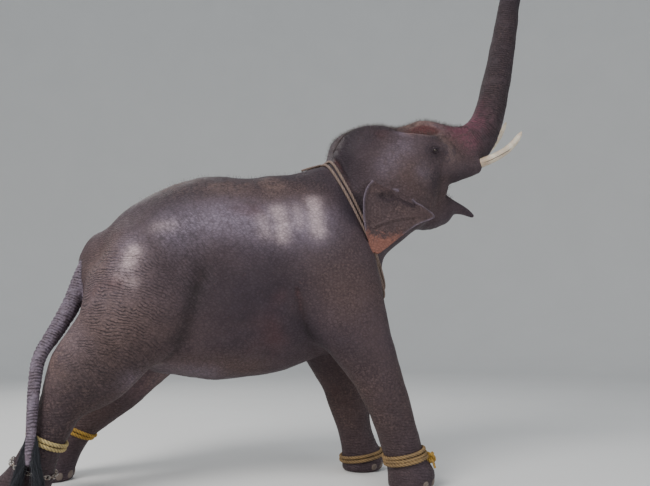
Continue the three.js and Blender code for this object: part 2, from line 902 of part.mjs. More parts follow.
// Place along a spine, counted in rows, where it crosses a cut.
function crossing(spine, { point, normal }) {
  const side = (row) => row.slice(0, 3).reduce((sum, value, k) => sum + (value - point[k]) * normal[k], 0);
  for (let i = 0; i < spine.length - 1; i++) {
    const a = side(spine[i]);
    const b = side(spine[i + 1]);
    if (a < 0 !== b < 0) {
      return i + a / (a - b);
    }
  }
  throw new Error('the spine does not cross the cut');
}

function pointAtHeight(spine, height) {
  return pointAlong(spine, crossing(spine, { point: [0, 0, height], normal: [0, 0, 1] }));
}

function pointAlong(spine, place) {
  const i = Math.min(Math.floor(place), spine.length - 2);
  const t = place - i;
  return [0, 1, 2].map((k) => spine[i][k] + (spine[i + 1][k] - spine[i][k]) * t);
}

function movedCut({ point, normal }, distance) {
  return { point: shifted(point, normal, distance), normal };
}

// ---- sub-parts ----

// Where the skin is netted, and the size of the net's cells.
const TORSO_NET = { low: [-2050, -900, 560], high: [1330, 900, 2900], cell: 139 };
const HEAD_NET = { low: [246, -637, 1852], high: [2200, 640, 3400], cell: 60 };
const LEG_BLOCK = { width: 2000, height: 1200 };
const NECK_SPINE = [
  [380, 0, 1990],
  [530, 0, 2100],
  [735, -5, 2375],
  [900, -10, 2480],
];
// Rings along each lofted form, and corners in a ring.
const NECK_LOFT = { rings: 6, sides: 26 };
const TRUNK_LOFTS = {
  base: { rings: 11, sides: 18 },
  middle: { rings: 8, sides: 16 },
  tip: { rings: 9, sides: 16 },
};
const FORELEG_LOFT = { rings: 10, sides: 18 };
const HINDLEG_LOFT = { rings: 11, sides: 18 };
const FOOT_SIDES = 18;
const FOOT_LEVELS = [0, 18, 60, 105];

function netSolid({ low, high, cell }) {
  const box = new THREE.Box3(new THREE.Vector3(...low), new THREE.Vector3(...high));
  return skinSolid(body, box, cell);
}

// The block that a pair of legs is cut away with.
function legBlock({ point, normal }, length) {
  return blockBelow(shifted(point, normal, HALF_GAP), normal, length, LEG_BLOCK.width, LEG_BLOCK.height);
}

function makeTorso() {
  const foreBlock = legBlock(FORELEG_CUT, FORELEG_CUT_LENGTH);
  const hindBlock = legBlock(HINDLEG_CUT, HINDLEG_CUT_LENGTH);
  const legless = netSolid(TORSO_NET).subtract(foreBlock).subtract(hindBlock);
  return largest(legless.intersect(behind(NECK_CUT)));
}

function makeNeck() {
  const spine = smoothStations(NECK_SPINE, BODY_STEPS);
  return loftBetween(spine, movedCut(NECK_CUT, HALF_GAP), movedCut(HEAD_CUT, -HALF_GAP), NECK_LOFT);
}

function headWhole() {
  return netSolid(HEAD_NET).intersect(inFrontOf(HEAD_CUT)).intersect(behind(TRUNK_CUT));
}

// The mouth's corner and the two planes that part the lower jaw from the head.
const MOUTH_CORNER = [1500, 0, 2500];
const THROAT_NORMAL = [0.83, 0, -0.56];
const MOUTH_NORMAL = [0.1, 0, -1];

function jawBlock(clearance) {
  const corner = withHead(MOUTH_CORNER);
  const turned = (direction) => new THREE.Vector3(...direction).normalize().applyQuaternion(headTurn);
  const throat = turned(THROAT_NORMAL).toArray();
  const mouth = turned(MOUTH_NORMAL).toArray();
  const front = inFrontOf({ point: shifted(corner, throat, -clearance), normal: throat });
  const low = inFrontOf({ point: shifted(corner, mouth, -clearance), normal: mouth });
  return front.intersect(low);
}

// A ring of lid round each eye, wider than high, and the socket that holds the ball.
function withEyes(head) {
  let result = head;
  for (const side of SIDES) {
    const centre = eyeCentre(side);
    result = result.add(solidFromGeometry(lidGeometry(centre, side)));
    result = result.subtract(ballSolid(centre, EYE_RADIUS + 2 * GAP));
  }
  return largest(result);
}

function lidGeometry(centre, side) {
  const curve = new THREE.EllipseCurve(0, 0, LID.width, LID.height);
  const loop = curve.getPoints(LID.segments).slice(0, LID.segments);
  const points = loop.map(({ x, y }) => {
    const bulge = LID.thickness * 1.3 - (x * x) / LID.curve;
    const local = new THREE.Vector3(x, side * bulge, y + LID.tilt * x).applyQuaternion(headTurn);
    return local.add(centre);
  });
  const path = new THREE.CatmullRomCurve3(points, true);
  return new THREE.TubeGeometry(path, LID.segments, LID.thickness, LID.sides, true);
}

function eyeCentre(side) {
  const [x, , z] = withHead(onSide(side, EYE_CENTRE));
  const outside = [x, side * 1000, z];
  const inward = [0, -side, 0];
  const outsideField = (a, b, c) => -body(a, b, c);
  const depth = skinDistance(outsideField, outside, inward);
  return new THREE.Vector3(x, side * (1000 - depth - EYE_DEPTH), z);
}

function ballSolid(centre, radius) {
  const geometry = new THREE.SphereGeometry(radius, ...EYE_SEGMENTS);
  geometry.translate(centre.x, centre.y, centre.z);
  return solidFromGeometry(geometry);
}

function makeTrunk() {
  const spine = smoothStations(TRUNK, TRUNK_STEPS);
  const lower = trunkCut(spine, TRUNK_LOWER_LENGTH);
  const upper = trunkCut(spine, TRUNK_UPPER_LENGTH);
  const end = trunkCut(spine, TRUNK_END_HEIGHT);
  const between = (first, last, loft) =>
    loftBetween(spine, movedCut(first, HALF_GAP), movedCut(last, -HALF_GAP), loft);
  const base = between(TRUNK_CUT, lower, TRUNK_LOFTS.base);
  const middle = between(lower, upper, TRUNK_LOFTS.middle);
  const tip = between(upper, end, TRUNK_LOFTS.tip);
  return { base, middle, tip: withNostrils(tip, end) };
}

// A cut square to the trunk at a height.
function trunkCut(spine, height) {
  const place = crossing(spine, { point: [0, 0, height], normal: [0, 0, 1] });
  const before = pointAlong(spine, place - 0.3);
  const after = pointAlong(spine, place + 0.3);
  return { point: pointAlong(spine, place), normal: after.map((value, k) => value - before[k]) };
}

function withNostrils(tip, end) {
  const axis = new THREE.Vector3(...end.normal).normalize();
  const { u } = ringBasis(end.normal);
  const { radius, inner, depth, sides } = NOSTRIL;
  let result = tip.add(fingerSolid());
  for (const side of SIDES) {
    const geometry = new THREE.CylinderGeometry(radius, inner, depth * 2, sides);
    geometry.applyQuaternion(new THREE.Quaternion().setFromUnitVectors(new THREE.Vector3(0, 1, 0), axis));
    geometry.translate(...end.point.map((value, k) => value + side * u.getComponent(k) * NOSTRIL.spread));
    result = result.subtract(solidFromGeometry(geometry));
  }
  return largest(result);
}

// The single finger on the back edge of the trunk's end.
function fingerSolid() {
  return loftStations(TRUNK_FINGER, 8);
}

// Stations by themselves as a solid, with an oval ring at every row.
function loftStations(rows, sides) {
  const rings = rows.map((row, i) => {
    const before = rows[Math.max(i - 1, 0)];
    const after = rows[Math.min(i + 1, rows.length - 1)];
    const { u, v } = ringBasis([0, 1, 2].map((k) => after[k] - before[k]));
    const points = [];
    for (let s = 0; s < sides; s++) {
      const angle = (2 * Math.PI * s) / sides;
      const p = u.clone().multiplyScalar(row[3] * Math.cos(angle));
      p.addScaledVector(v, row[4] * Math.sin(angle));
      points.push([row[0] + p.x, row[1] + p.y, row[2] + p.z]);
    }
    return points;
  });
  const first = rows[0];
  const last = rows.at(-1);
  const before = rows.at(-2);
  const rounding = 0.5 * Math.min(last[3], last[4]);
  const endHub = shifted(last.slice(0, 3), [0, 1, 2].map((k) => last[k] - before[k]), rounding);
  return tubeSolid(rings, first.slice(0, 3), endHub);
}

function makeTusk(side) {
  const stations = TUSK[side].map((station) => withHead(onSide(side, station)));
  return loftStations(stations, 10);
}

function makeLeg(stations, side, cut, loft) {
  const spine = smoothStations(legSpine(stations, side), BODY_STEPS);
  const top = movedCut(cut, -HALF_GAP);
  const bottom = { point: [0, 0, FOOT_CUT_HEIGHT + HALF_GAP], normal: [0, 0, 1] };
  return loftBetween(spine, bottom, top, loft);
}

function makeFoot(stations, side, nailAngles) {
  const spine = smoothStations(legSpine(stations, side), BODY_STEPS);
  const sole = spine.at(-1);
  const levels = [...FOOT_LEVELS, FOOT_CUT_HEIGHT - HALF_GAP];
  const centres = levels.map((level) => {
    if (level <= sole[2]) {
      return [sole[0], sole[1], level];
    }
    return pointAtHeight(spine, level);
  });
  const rings = centres.map((centre) => skinRing(centre, [0, 0, 1], FOOT_SIDES));
  const foot = tubeSolid(rings, centres[0], centres.at(-1));
  const nails = nailAngles.map((angle, i) => nailSolid(sole, side, angle, i));
  return largest(fuse([foot, ...nails]));
}

// One toenail: a low oval dome set on the rim of the foot.
function nailSolid(sole, side, degrees, index) {
  const angle = THREE.MathUtils.degToRad(degrees);
  const outward = [Math.cos(angle), Math.sin(angle), 0];
  const centre = [sole[0], sole[1], NAIL.level];
  const reach = skinDistance(body, centre, outward);
  const size = 1 - NAIL.shrink * Math.abs(index - 2);
  const geometry = new THREE.SphereGeometry(1, 7, 4);
  geometry.rotateX(Math.PI / 2);
  geometry.scale(NAIL.thickness, NAIL.width * size, NAIL.height * size);
  geometry.rotateY(THREE.MathUtils.degToRad(NAIL.tilt));
  geometry.rotateZ(angle);
  geometry.translate(...shifted(centre, outward, reach - NAIL.sunk));
  return solidFromGeometry(geometry);
}

// ---- ears ----

// How far the middle of the ear's sheet stands from the place of its root. The ear is hinged
// along a line from its front corner to its top, and is cupped behind that line.
const EAR_HINGE = { point: [312, -165], normal: [0.474, 0.88] };

function earStand(dx, dz) {
  const { point, normal } = EAR_HINGE;
  const fromHinge = Math.max(0, -(dx - point[0]) * normal[0] - (dz - point[1]) * normal[1]);
  const rise = 1 - Math.exp(-fromHinge / 70);
  const cup = 30 * Math.exp(-(((dx + 10) / 120) ** 2 + ((dz + 105) / 75) ** 2));
  const backCurl = 38 * Math.max(0, (-dx - 240) / 110) ** 2;
  const hang = 0.1 * Math.max(0, -dz - 150);
  return -40 + 118 * rise - cup + backCurl - hang;
}

function makeEar(side) {
  const root = withHead(onSide(side, EAR_ROOT));
  const closed = new THREE.CatmullRomCurve3(
    EAR_OUTLINE.map(([x, y]) => new THREE.Vector3(x, y, 0)),
    true,
  );
  const rim = closed.getSpacedPoints(EAR_CORNERS).slice(0, EAR_CORNERS);
  const sheet = (face) =>
    EAR_RINGS.map((fraction) =>
      rim.map(({ x, y }) => {
        const dx = EAR_HUB[0] + (x - EAR_HUB[0]) * fraction;
        const dz = EAR_HUB[1] + (y - EAR_HUB[1]) * fraction;
        return earPoint(root, side, dx, dz, face, fraction);
      }),
    );
  const outer = sheet(1);
  const inner = sheet(-1);
  const rings = [...outer, ...inner.reverse()];
  const hub = (face) => earPoint(root, side, EAR_HUB[0], EAR_HUB[1], face, 0);
  const turned = side === LEFT ? rings : rings.map((ring) => [...ring].reverse());
  return tubeSolid(turned, hub(1), hub(-1));
}

function earPoint(root, side, dx, dz, face, fraction) {
  const half = (EAR_THICKNESS + (EAR_RIM_THICKNESS - EAR_THICKNESS) * fraction ** 3) / 2;
  const stand = earStand(dx, dz) + face * half;
  return [root[0] + dx, root[1] + side * stand, root[2] + dz];
}

// ---- tail ----

function random(seed) {
  let state = seed;
  return () => {
    state = (state * 1664525 + 1013904223) % 4294967296;
    return state / 4294967296;
  };
}

const TUFT = {
  locks: 16,
  top: 500,
  highest: 485,
  lowest: 315,
  width: 20,
  thickness: 7,
  tip: 30,
  tipSpread: 90,
  reach: 30,
  reachSpread: 90,
  spans: 3,
};

function makeTail() {
  const rows = smoothStations(TAIL, TAIL_STEPS);
  const whole = loftStations(rows, 10);
  const cut = { point: [0, 0, TUFT.top], normal: [0, 0, 1] };
  const draw = random(7);
  const locks = [];
  for (let i = 0; i < TUFT.locks; i++) {
    const fraction = (i + 0.5) / TUFT.locks;
    const height = TUFT.highest + (TUFT.lowest - TUFT.highest) * fraction;
    const root = pointAtHeight(rows, height);
    locks.push(lockSolid(root, i % 2 === 0 ? 1 : -1, fraction, draw));
  }
  const end = whole.intersect(behind(cut));
  const tuft = fuse([end, ...locks]).intersect(behind(cut));
  return { tail: largest(whole.intersect(inFrontOf(cut))), tuft: largest(tuft) };
}

// A flat, tapered lock that leaves the front or the back of the tail and bends down
// to just above the floor.
function lockSolid(root, way, fraction, draw) {
  const lean = (draw() - 0.5) * 0.5;
  const spread = way * (TUFT.reach + TUFT.reachSpread * draw() * (0.5 + 0.5 * fraction));
  const lowest = TUFT.tip + TUFT.tipSpread * draw() * (1.2 - fraction);
  const rings = [];
  for (let r = 0; r <= TUFT.spans; r++) {
    const t = r / TUFT.spans;
    const out = spread * (1 - (1 - t) ** 2);
    const centre = [root[0] + out, root[1] + lean * Math.abs(out), root[2] + (lowest - root[2]) * t];
    const taper = t === 1 ? 0.15 : 1 - 0.7 * t * t;
    const wide = TUFT.width * taper;
    const thin = TUFT.thickness * taper;
    const corners = [[0, thin], [wide, 0], [0, -thin], [-wide, 0]];
    rings.push(corners.map(([dx, dy]) => [centre[0] + dx, centre[1] + dy, centre[2]]));
  }
  return capped(rings);
}

// ---- what the animal wears ----

// Stations of a closed loop on the skin: each has its place and its outward direction.
function skinLoop(centre, normal, count, lift = () => 0) {
  const { u, v } = ringBasis(normal);
  const stations = [];
  for (let i = 0; i < count; i++) {
    const angle = (2 * Math.PI * i) / count;
    const outward = u.clone().multiplyScalar(Math.cos(angle)).addScaledVector(v, Math.sin(angle));
    const reach = skinDistance(body, centre, outward.toArray()) + lift(outward);
    stations.push({ outward, place: new THREE.Vector3(...centre).addScaledVector(outward, reach) });
  }
  return stations;
}

// A section given as [outward, along] pairs, carried round a loop.
function sweptLoop(stations, normal, sectionAt) {
  const along = new THREE.Vector3(...normal).normalize();
  const rings = stations.map(({ place, outward }, i) =>
    sectionAt(i).map(([out, up]) =>
      place.clone().addScaledVector(outward, out).addScaledVector(along, -up).toArray(),
    ),
  );
  return loopSolid(rings);
}

function roundSection(radius, sides) {
  return Array.from({ length: sides }, (_, i) => {
    const angle = (2 * Math.PI * i) / sides;
    return [radius * Math.cos(angle), radius * Math.sin(angle)];
  });
}

function makeNeckRope({ nape, slack }) {
  const centre = [nape + NECK_ROPE_CENTRE.ahead, 0, NECK_ROPE_CENTRE.height];
  const clear = NECK_ROPE_RADIUS + NECK_ROPE_LIFT;
  const lift = (outward) => clear + slack * Math.max(0, -outward.z) ** 3;
  const stations = skinLoop(centre, NECK_ROPE_NORMAL, NECK_ROPE_STATIONS, lift);
  const section = roundSection(NECK_ROPE_RADIUS, ROPE_SIDES);
  return sweptLoop(stations, NECK_ROPE_NORMAL, () => section);
}

// A short end of rope that lies back over the withers from the rear neck rope.
function ropeEndSolid() {
  const { radius, start, length, drift, spans, inside } = ROPE_END;
  const rings = [];
  for (let i = 0; i <= spans; i++) {
    const t = i / spans;
    const [x, y] = [start - length * t, -drift * t];
    const height = inside + skinDistance(body, [x, y, inside], [0, 0, 1]) + radius;
    rings.push(roundSection(radius, ROPE_SIDES).map(([across, up]) => [x, y - across, height + up]));
  }
  return capped(rings);
}

function legCentre(stations, side, height) {
  return pointAtHeight(smoothStations(legSpine(stations, side), BODY_STEPS), height);
}

// Turns of rope lie side by side: round towards the outside and flat against the leg.
function makeLegRope({ stations, side, height, normal, turns }) {
  const radius = LEG_ROPE_RADIUS;
  const centre = legCentre(stations, side, height);
  const along = new THREE.Vector3(...normal).normalize();
  const loops = [];
  for (let turn = 0; turn < turns; turn++) {
    const offset = (turn - (turns - 1) / 2) * ROPE_PITCH * radius;
    const middle = shifted(centre, normal, offset);
    loops.push(skinLoop(middle, normal, ROPE_BAND_SEGMENTS, () => radius + ROPE_LIFT));
  }
  const rings = [];
  for (let i = 0; i < ROPE_BAND_SEGMENTS; i++) {
    const around = (loop, degrees) => {
      const angle = THREE.MathUtils.degToRad(degrees);
      const { place, outward } = loop[i];
      const point = place.clone().addScaledVector(outward, radius * Math.cos(angle));
      return point.addScaledVector(along, radius * Math.sin(angle)).toArray();
    };
    const outside = loops.flatMap((loop) => [-60, 0, 60].map((degrees) => around(loop, degrees)));
    rings.push([...outside, around(loops.at(-1), 180), around(loops[0], 180)].reverse());
  }
  return loopSolid(rings);
}

// The knot in front of the right fore ankle: small loops wound across each other.
function knotSolid() {
  const { loop, rope, sides, segments, turns } = KNOT;
  const centre = legCentre(FORELEG[RIGHT], RIGHT, KNOT.height);
  const outward = [Math.cos(KNOT.angle), Math.sin(KNOT.angle), 0];
  const reach = skinDistance(body, centre, outward) + KNOT.lift;
  const place = shifted(centre, outward, reach);
  const loops = turns.map(([turnX, turnY, turnZ]) => {
    const geometry = new THREE.TorusGeometry(loop, rope, sides, segments);
    geometry.rotateX(THREE.MathUtils.degToRad(turnX));
    geometry.rotateY(THREE.MathUtils.degToRad(turnY));
    geometry.rotateZ(THREE.MathUtils.degToRad(turnZ));
    geometry.translate(...place);
    return solidFromGeometry(geometry);
  });
  return fuse(loops);
}

// The chain's links stand upright and lie flat by turns, drawn in where they hook together.
function makeChain() {
  const { wire, links, height, normal } = CHAIN;
  const reach = CHAIN.width / 2;
  const centre = legCentre(HINDLEG[RIGHT], RIGHT, height);
  const loop = skinLoop(centre, normal, 2 * links, () => reach + ROPE_LIFT);
  const oval = (wide, tall) => roundSection(1, ROPE_SIDES).map(([a, b]) => [a * wide, b * tall]);
  const upright = oval(wire, reach);
  const flat = oval(reach * 0.8, wire);
  const hook = oval(1.3 * wire, 1.3 * wire);
  const order = [upright, hook, flat, hook];
  return sweptLoop(loop, normal, (i) => order[i % 4]);
}

// ---- the animal ----

const parts = {};
const torso = makeTorso();
const neck = makeNeck();
const wholeHead = headWhole();
const head = withEyes(largest(wholeHead.subtract(jawBlock(HALF_GAP))));
const lowerJaw = largest(wholeHead.intersect(jawBlock(-HALF_GAP)));
const trunk = makeTrunk();

parts.torso = [torso, skinMaterial];
parts.neck = [neck, skinMaterial];
parts.head = [head, skinMaterial];
parts.lower_jaw = [lowerJaw, skinMaterial];
parts.trunk_base = [trunk.base, trunkMaterial];
parts.trunk_middle = [trunk.middle, trunkMaterial];
parts.trunk_tip = [trunk.tip, trunkMaterial];

for (const side of SIDES) {
  const name = SIDE_NAMES[side];
  const foreleg = makeLeg(FORELEG[side], side, FORELEG_CUT, FORELEG_LOFT);
  const hindleg = makeLeg(HINDLEG[side], side, HINDLEG_CUT, HINDLEG_LOFT);
  parts[`foreleg_${name}`] = [foreleg, skinMaterial];
  parts[`forefoot_${name}`] = [makeFoot(FORELEG[side], side, FORE_NAIL_ANGLES), skinMaterial];
  parts[`hindleg_${name}`] = [hindleg, skinMaterial];
  parts[`hindfoot_${name}`] = [makeFoot(HINDLEG[side], side, HIND_NAIL_ANGLES), skinMaterial];
  parts[`ear_${name}`] = [clearOf(makeEar(side), [head, lowerJaw, neck, torso]), skinMaterial];
  parts[`eye_${name}`] = [ballSolid(eyeCentre(side), EYE_RADIUS), eyeMaterial];
  parts[`tusk_${name}`] = [clearOf(makeTusk(side), [head]), ivoryMaterial];
}

const { tail, tuft } = makeTail();
parts.tail = [clearOf(tail, [torso, parts.hindleg_right[0]]), skinMaterial];
parts.tail_tuft = [clearOf(tuft, [parts.hindleg_right[0]]), hairMaterial];

const rearRope = fuse([makeNeckRope(NECK_ROPES.rear), ropeEndSolid()]);
const frontRope = makeNeckRope(NECK_ROPES.front);
const besideRopes = [torso, neck, head, parts.ear_right[0], parts.ear_left[0]];
parts.neck_rope_rear = [clearOf(rearRope, besideRopes), tanRopeMaterial];
parts.neck_rope_front = [clearOf(frontRope, besideRopes), tanRopeMaterial];
for (const [leg, band] of Object.entries(LEG_BANDS)) {
  const foot = leg.replace('leg', 'foot');
  const around = clearOf(makeLegRope(band), [parts[leg][0], parts[foot][0]]);
  parts[`${leg}_rope`] = [around, yellowRopeMaterial];
}
const knotted = fuse([parts.foreleg_right_rope[0], knotSolid()]);
parts.foreleg_right_rope = [clearOf(knotted, [parts.foreleg_right[0]]), yellowRopeMaterial];
parts.ankle_chain = [makeChain(), chainMaterial];

const elephant = new THREE.Group();
for (const [name, [solid, material]] of Object.entries(parts)) {
  const mesh = new THREE.Mesh(geometryOf(solid), material);
  mesh.name = name;
  elephant.add(mesh);
}
elephant.position.x = FORWARD_SHIFT;

export default elephant;
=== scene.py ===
"""An Asian elephant with its trunk raised, roped at the neck and the ankles, in a studio.

The file is laid out as a Blender add-on. The skin is one surface, worked out from the same
stations as the solids that it stands for. Stations are in millimetres, everything else in metres.
"""
import math

import bmesh
import bpy
import numpy as np
from bpy.props import FloatProperty, FloatVectorProperty, IntProperty, PointerProperty
from mathutils import Euler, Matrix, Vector
from mathutils.kdtree import KDTree


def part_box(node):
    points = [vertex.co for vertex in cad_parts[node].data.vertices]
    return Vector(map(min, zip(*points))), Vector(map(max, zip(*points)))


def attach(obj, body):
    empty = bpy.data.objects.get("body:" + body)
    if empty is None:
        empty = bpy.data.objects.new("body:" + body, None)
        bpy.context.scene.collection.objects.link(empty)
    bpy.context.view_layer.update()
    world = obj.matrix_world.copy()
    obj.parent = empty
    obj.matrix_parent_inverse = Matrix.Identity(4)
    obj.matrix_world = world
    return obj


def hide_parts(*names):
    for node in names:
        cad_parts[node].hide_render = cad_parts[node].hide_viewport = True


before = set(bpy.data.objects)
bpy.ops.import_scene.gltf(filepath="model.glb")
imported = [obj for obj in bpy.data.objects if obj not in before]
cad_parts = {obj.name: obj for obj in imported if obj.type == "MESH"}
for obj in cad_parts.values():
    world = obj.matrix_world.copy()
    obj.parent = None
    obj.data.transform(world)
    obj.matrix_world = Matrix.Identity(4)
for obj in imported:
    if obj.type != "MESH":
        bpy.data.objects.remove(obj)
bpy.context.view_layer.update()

bl_info = {
    "name": "Roped Elephant",
    "version": (1, 0, 0),
    "blender": (4, 5, 0),
    "location": "View3D > Sidebar > Elephant",
    "description": "Builds a standing elephant with a raised trunk, its ropes and its studio",
    "category": "Object",
}

# ---- the animal's stations: place, half width and half depth, in millimetres ----

MM = 0.001
RIGHT, LEFT = -1, 1
SIDES = (RIGHT, LEFT)
SIDE_NAMES = {RIGHT: "right", LEFT: "left"}
FORWARD_SHIFT = np.array((-0.2, 0.0, 0.0))
ACROSS = np.array((0.0, 1.0, 0.0))
UP = np.array((0.0, 0.0, 1.0))
HEAD_ROLL = math.radians(12)
HEAD_PIVOT = np.array((1.0, 0.0, 2.55))
HEAD_AXIS = np.array((math.cos(math.radians(8)), 0.0, math.sin(math.radians(8))))

TORSO = (
    (-1400, 0, 1530, 330, 530), (-1120, 0, 1590, 510, 720), (-700, 0, 1675, 585, 857),
    (-250, 0, 1720, 580, 850), (150, 0, 1785, 510, 790), (420, 0, 1860, 420, 730),
)
CROUP = ((-1440, 0, 1930, 150, 110), (-1580, -15, 1790, 105, 85))
NECK = ((200, 0, 2020, 400, 580), (580, 0, 2260, 360, 500), (960, -20, 2520, 330, 440))
FORELEG = {
    RIGHT: (
        (200, 300, 2150, 150, 280), (380, 370, 1780, 180, 360), (500, 380, 1420, 190, 330),
        (660, 370, 1080, 175, 245), (800, 350, 800, 155, 190), (900, 340, 520, 148, 165),
        (980, 340, 250, 150, 152), (1030, 340, 80, 180, 190),
    ),
    LEFT: (
        (200, 300, 2150, 150, 280), (360, 370, 1780, 180, 360), (420, 380, 1420, 190, 340),
        (490, 370, 1080, 175, 260), (580, 350, 800, 155, 190), (670, 340, 520, 148, 165),
        (735, 340, 250, 150, 152), (780, 340, 80, 180, 190),
    ),
}
HINDLEG = {
    RIGHT: (
        (-1020, 320, 1850, 200, 300), (-1150, 370, 1500, 220, 385), (-1270, 370, 1200, 210, 345),
        (-1500, 360, 900, 180, 305), (-1650, 350, 680, 150, 172), (-1720, 350, 500, 142, 130),
        (-1785, 350, 340, 142, 135), (-1840, 350, 200, 150, 155), (-1890, 350, 80, 175, 205),
    ),
    LEFT: (
        (-1000, 320, 1850, 200, 300), (-1080, 370, 1500, 220, 385), (-1170, 370, 1180, 210, 385),
        (-1330, 360, 870, 180, 285), (-1535, 350, 590, 150, 185), (-1692, 350, 430, 142, 138),
        (-1780, 350, 290, 142, 135), (-1840, 350, 180, 150, 155), (-1900, 350, 80, 175, 205),
    ),
}
TRUNK = (
    (1250, -30, 2880, 260, 250), (1530, -55, 2875, 245, 250), (1755, -80, 2975, 200, 203),
    (1898, -105, 3160, 156, 152), (1978, -120, 3420, 135, 133), (2045, -130, 3720, 120, 118),
    (2120, -130, 4080, 110, 107), (2195, -125, 4420, 100, 100), (2300, -100, 4740, 85, 85),
    (2460, -80, 4960, 68, 68),
)
TRUNK_FINGER = (
    (2375, -84, 4915, 44, 30), (2420, -81, 4985, 36, 24), (2468, -79, 5030, 24, 16),
    (2500, -79, 5052, 12, 9),
)
TRUNK_END = (2445, -82, 4940)
NOSTRIL = {"radius": 17, "inner": 0.7, "spread": 26, "depth": 90, "ahead": 30}
TAIL = (
    (-1560, -20, 1900, 100, 85), (-1628, -120, 1640, 84, 80), (-1672, -195, 1450, 76, 74),
    (-1750, -295, 1235, 68, 64), (-1822, -405, 1040, 52, 52), (-1826, -462, 850, 46, 46),
    (-1812, -515, 660, 39, 39), (-1797, -556, 500, 34, 34), (-1792, -580, 390, 29, 29),
    (-1790, -588, 305, 22, 20),
)

# Stations and masses of the head, before its roll. A mass has a centre, radii and a blend.
JAW = ((1080, 0, 2380, 240, 200), (1330, 0, 2325, 205, 170), (1480, 0, 2345, 150, 135))
LOWER_LIP = (
    (1480, 0, 2380, 135, 150), (1615, 0, 2385, 92, 74), (1712, 0, 2362, 58, 48),
    (1806, 0, 2307, 28, 24),
)
TUSK_SHEATH = ((1350, 220, 2740, 110, 140), (1550, 215, 2725, 100, 120), (1720, 210, 2755, 70, 75))
BROW_RIDGE = (
    (880, 215, 2985, 70, 50), (1080, 262, 2962, 60, 48), (1240, 296, 2938, 62, 50),
    (1330, 318, 2880, 55, 45),
)
MOUTH_GAP = (
    (1478, 0, 2543, 420, 14), (1545, 0, 2524, 420, 50), (1680, 0, 2520, 420, 118),
    (1840, 0, 2520, 420, 190),
)
THROAT = ((1330, 0, 2505, 95, 22), (1480, 0, 2530, 120, 48))
TUSK = {
    RIGHT: (
        (1600, 205, 2720, 45, 45), (1740, 230, 2775, 43, 43), (1830, 246, 2815, 41, 41),
        (1920, 260, 2862, 38, 38), (1990, 269, 2912, 34, 34), (2050, 275, 2972, 30, 30),
        (2095, 278, 3035, 24, 24), (2120, 280, 3080, 13, 13),
    ),
    LEFT: (
        (1600, 205, 2720, 46, 46), (1740, 230, 2775, 44, 44), (1850, 256, 2818, 42, 42),
        (1955, 284, 2873, 39, 39), (2055, 314, 2942, 36, 36), (2150, 345, 3028, 32, 32),
        (2228, 372, 3125, 26, 26), (2280, 390, 3212, 20, 20), (2310, 401, 3276, 12, 12),
    ),
}
DOME = ((748, 150, 2768), (322, 232, 304), 120)
BROW = ((1270, 270, 2870), (200, 90, 90), 100)
CHEEK = ((1115, 208, 2540), (260, 170, 345), 110)
MOUTH_SIDE = ((1375, 135, 2550), (105, 120, 150), 70)
SKULL = ((1050, 0, 2740), (500, 340, 330), 150)
FOREHEAD = ((1330, 0, 2920), (320, 220, 225), 120)
FOREHEAD_HOLLOW = ((1150, 195, 3105), (230, 95, 115), 80)
BREAST = ((520, 0, 1550), (360, 340, 420), 200)

EAR_ROOT = (970, 400, 2460)
EAR_OUTLINE = (
    (-118, 112), (-178, 163), (-262, 105), (-325, 15), (-352, -95), (-344, -255), (-306, -405),
    (-240, -520), (-157, -478), (-40, -385), (118, -270), (312, -165), (140, -42), (82, 4),
    (-20, 48), (-72, 70),
)
EAR_HUB = (-80, -150)
EAR_HINGE = {"point": (312, -165), "normal": (0.474, 0.88)}
EAR_THICKNESS = 22
EAR_RIM_THICKNESS = 9


def turn_about(axis, angle):
    x, y, z = axis
    skew = np.array(((0, -z, y), (z, 0, -x), (-y, x, 0)))
    return np.eye(3) + math.sin(angle) * skew + (1 - math.cos(angle)) * skew @ skew


HEAD_TURN = turn_about(HEAD_AXIS, HEAD_ROLL)


def placed(points, side=LEFT, head=False):
    """Station points, in millimetres, as points of the part, in metres."""
    out = np.array(points, float) * MM
    out[..., 1] *= side
    if head:
        out = HEAD_PIVOT + (out - HEAD_PIVOT) @ HEAD_TURN.T
    return out + FORWARD_SHIFT


def unit(vectors):
    vectors = np.asarray(vectors, float)
    return vectors / np.maximum(np.linalg.norm(vectors, axis=-1, keepdims=True), 1e-9)


def axes(ways):
    """Each way as a unit vector, with two more square to it: one towards +Y, and one upwards."""
    ways = unit(ways)
    side = unit(ACROSS - ways[..., 1:2] * ways)
    return ways, side, np.cross(ways, side)


def even_angles(count):
    return np.arange(count) * math.tau / count


def turned_towards(first, second, angles):
    """The first vector turned towards the second by each angle."""
    return np.cos(angles)[:, None] * first + np.sin(angles)[:, None] * second


def smoothstep(low, high, value):
    t = np.clip((value - low) / (high - low), 0, 1)
    return t * t * (3 - 2 * t)


# ---- the form as a field: negative inside, positive outside ----


def smooth_rows(rows, steps):
    ends = np.vstack((2 * rows[0] - rows[1], rows, 2 * rows[-1] - rows[-2]))
    out = []
    for a, b, c, d in zip(ends, ends[1:], ends[2:], ends[3:]):
        for t in np.arange(steps) / steps:
            bend = (2 * a - 5 * b + 4 * c - d) * t * t + (3 * b - a - 3 * c + d) * t ** 3
            out.append(0.5 * (2 * b + (c - a) * t + bend))
    out.append(rows[-1])
    return np.array(out)


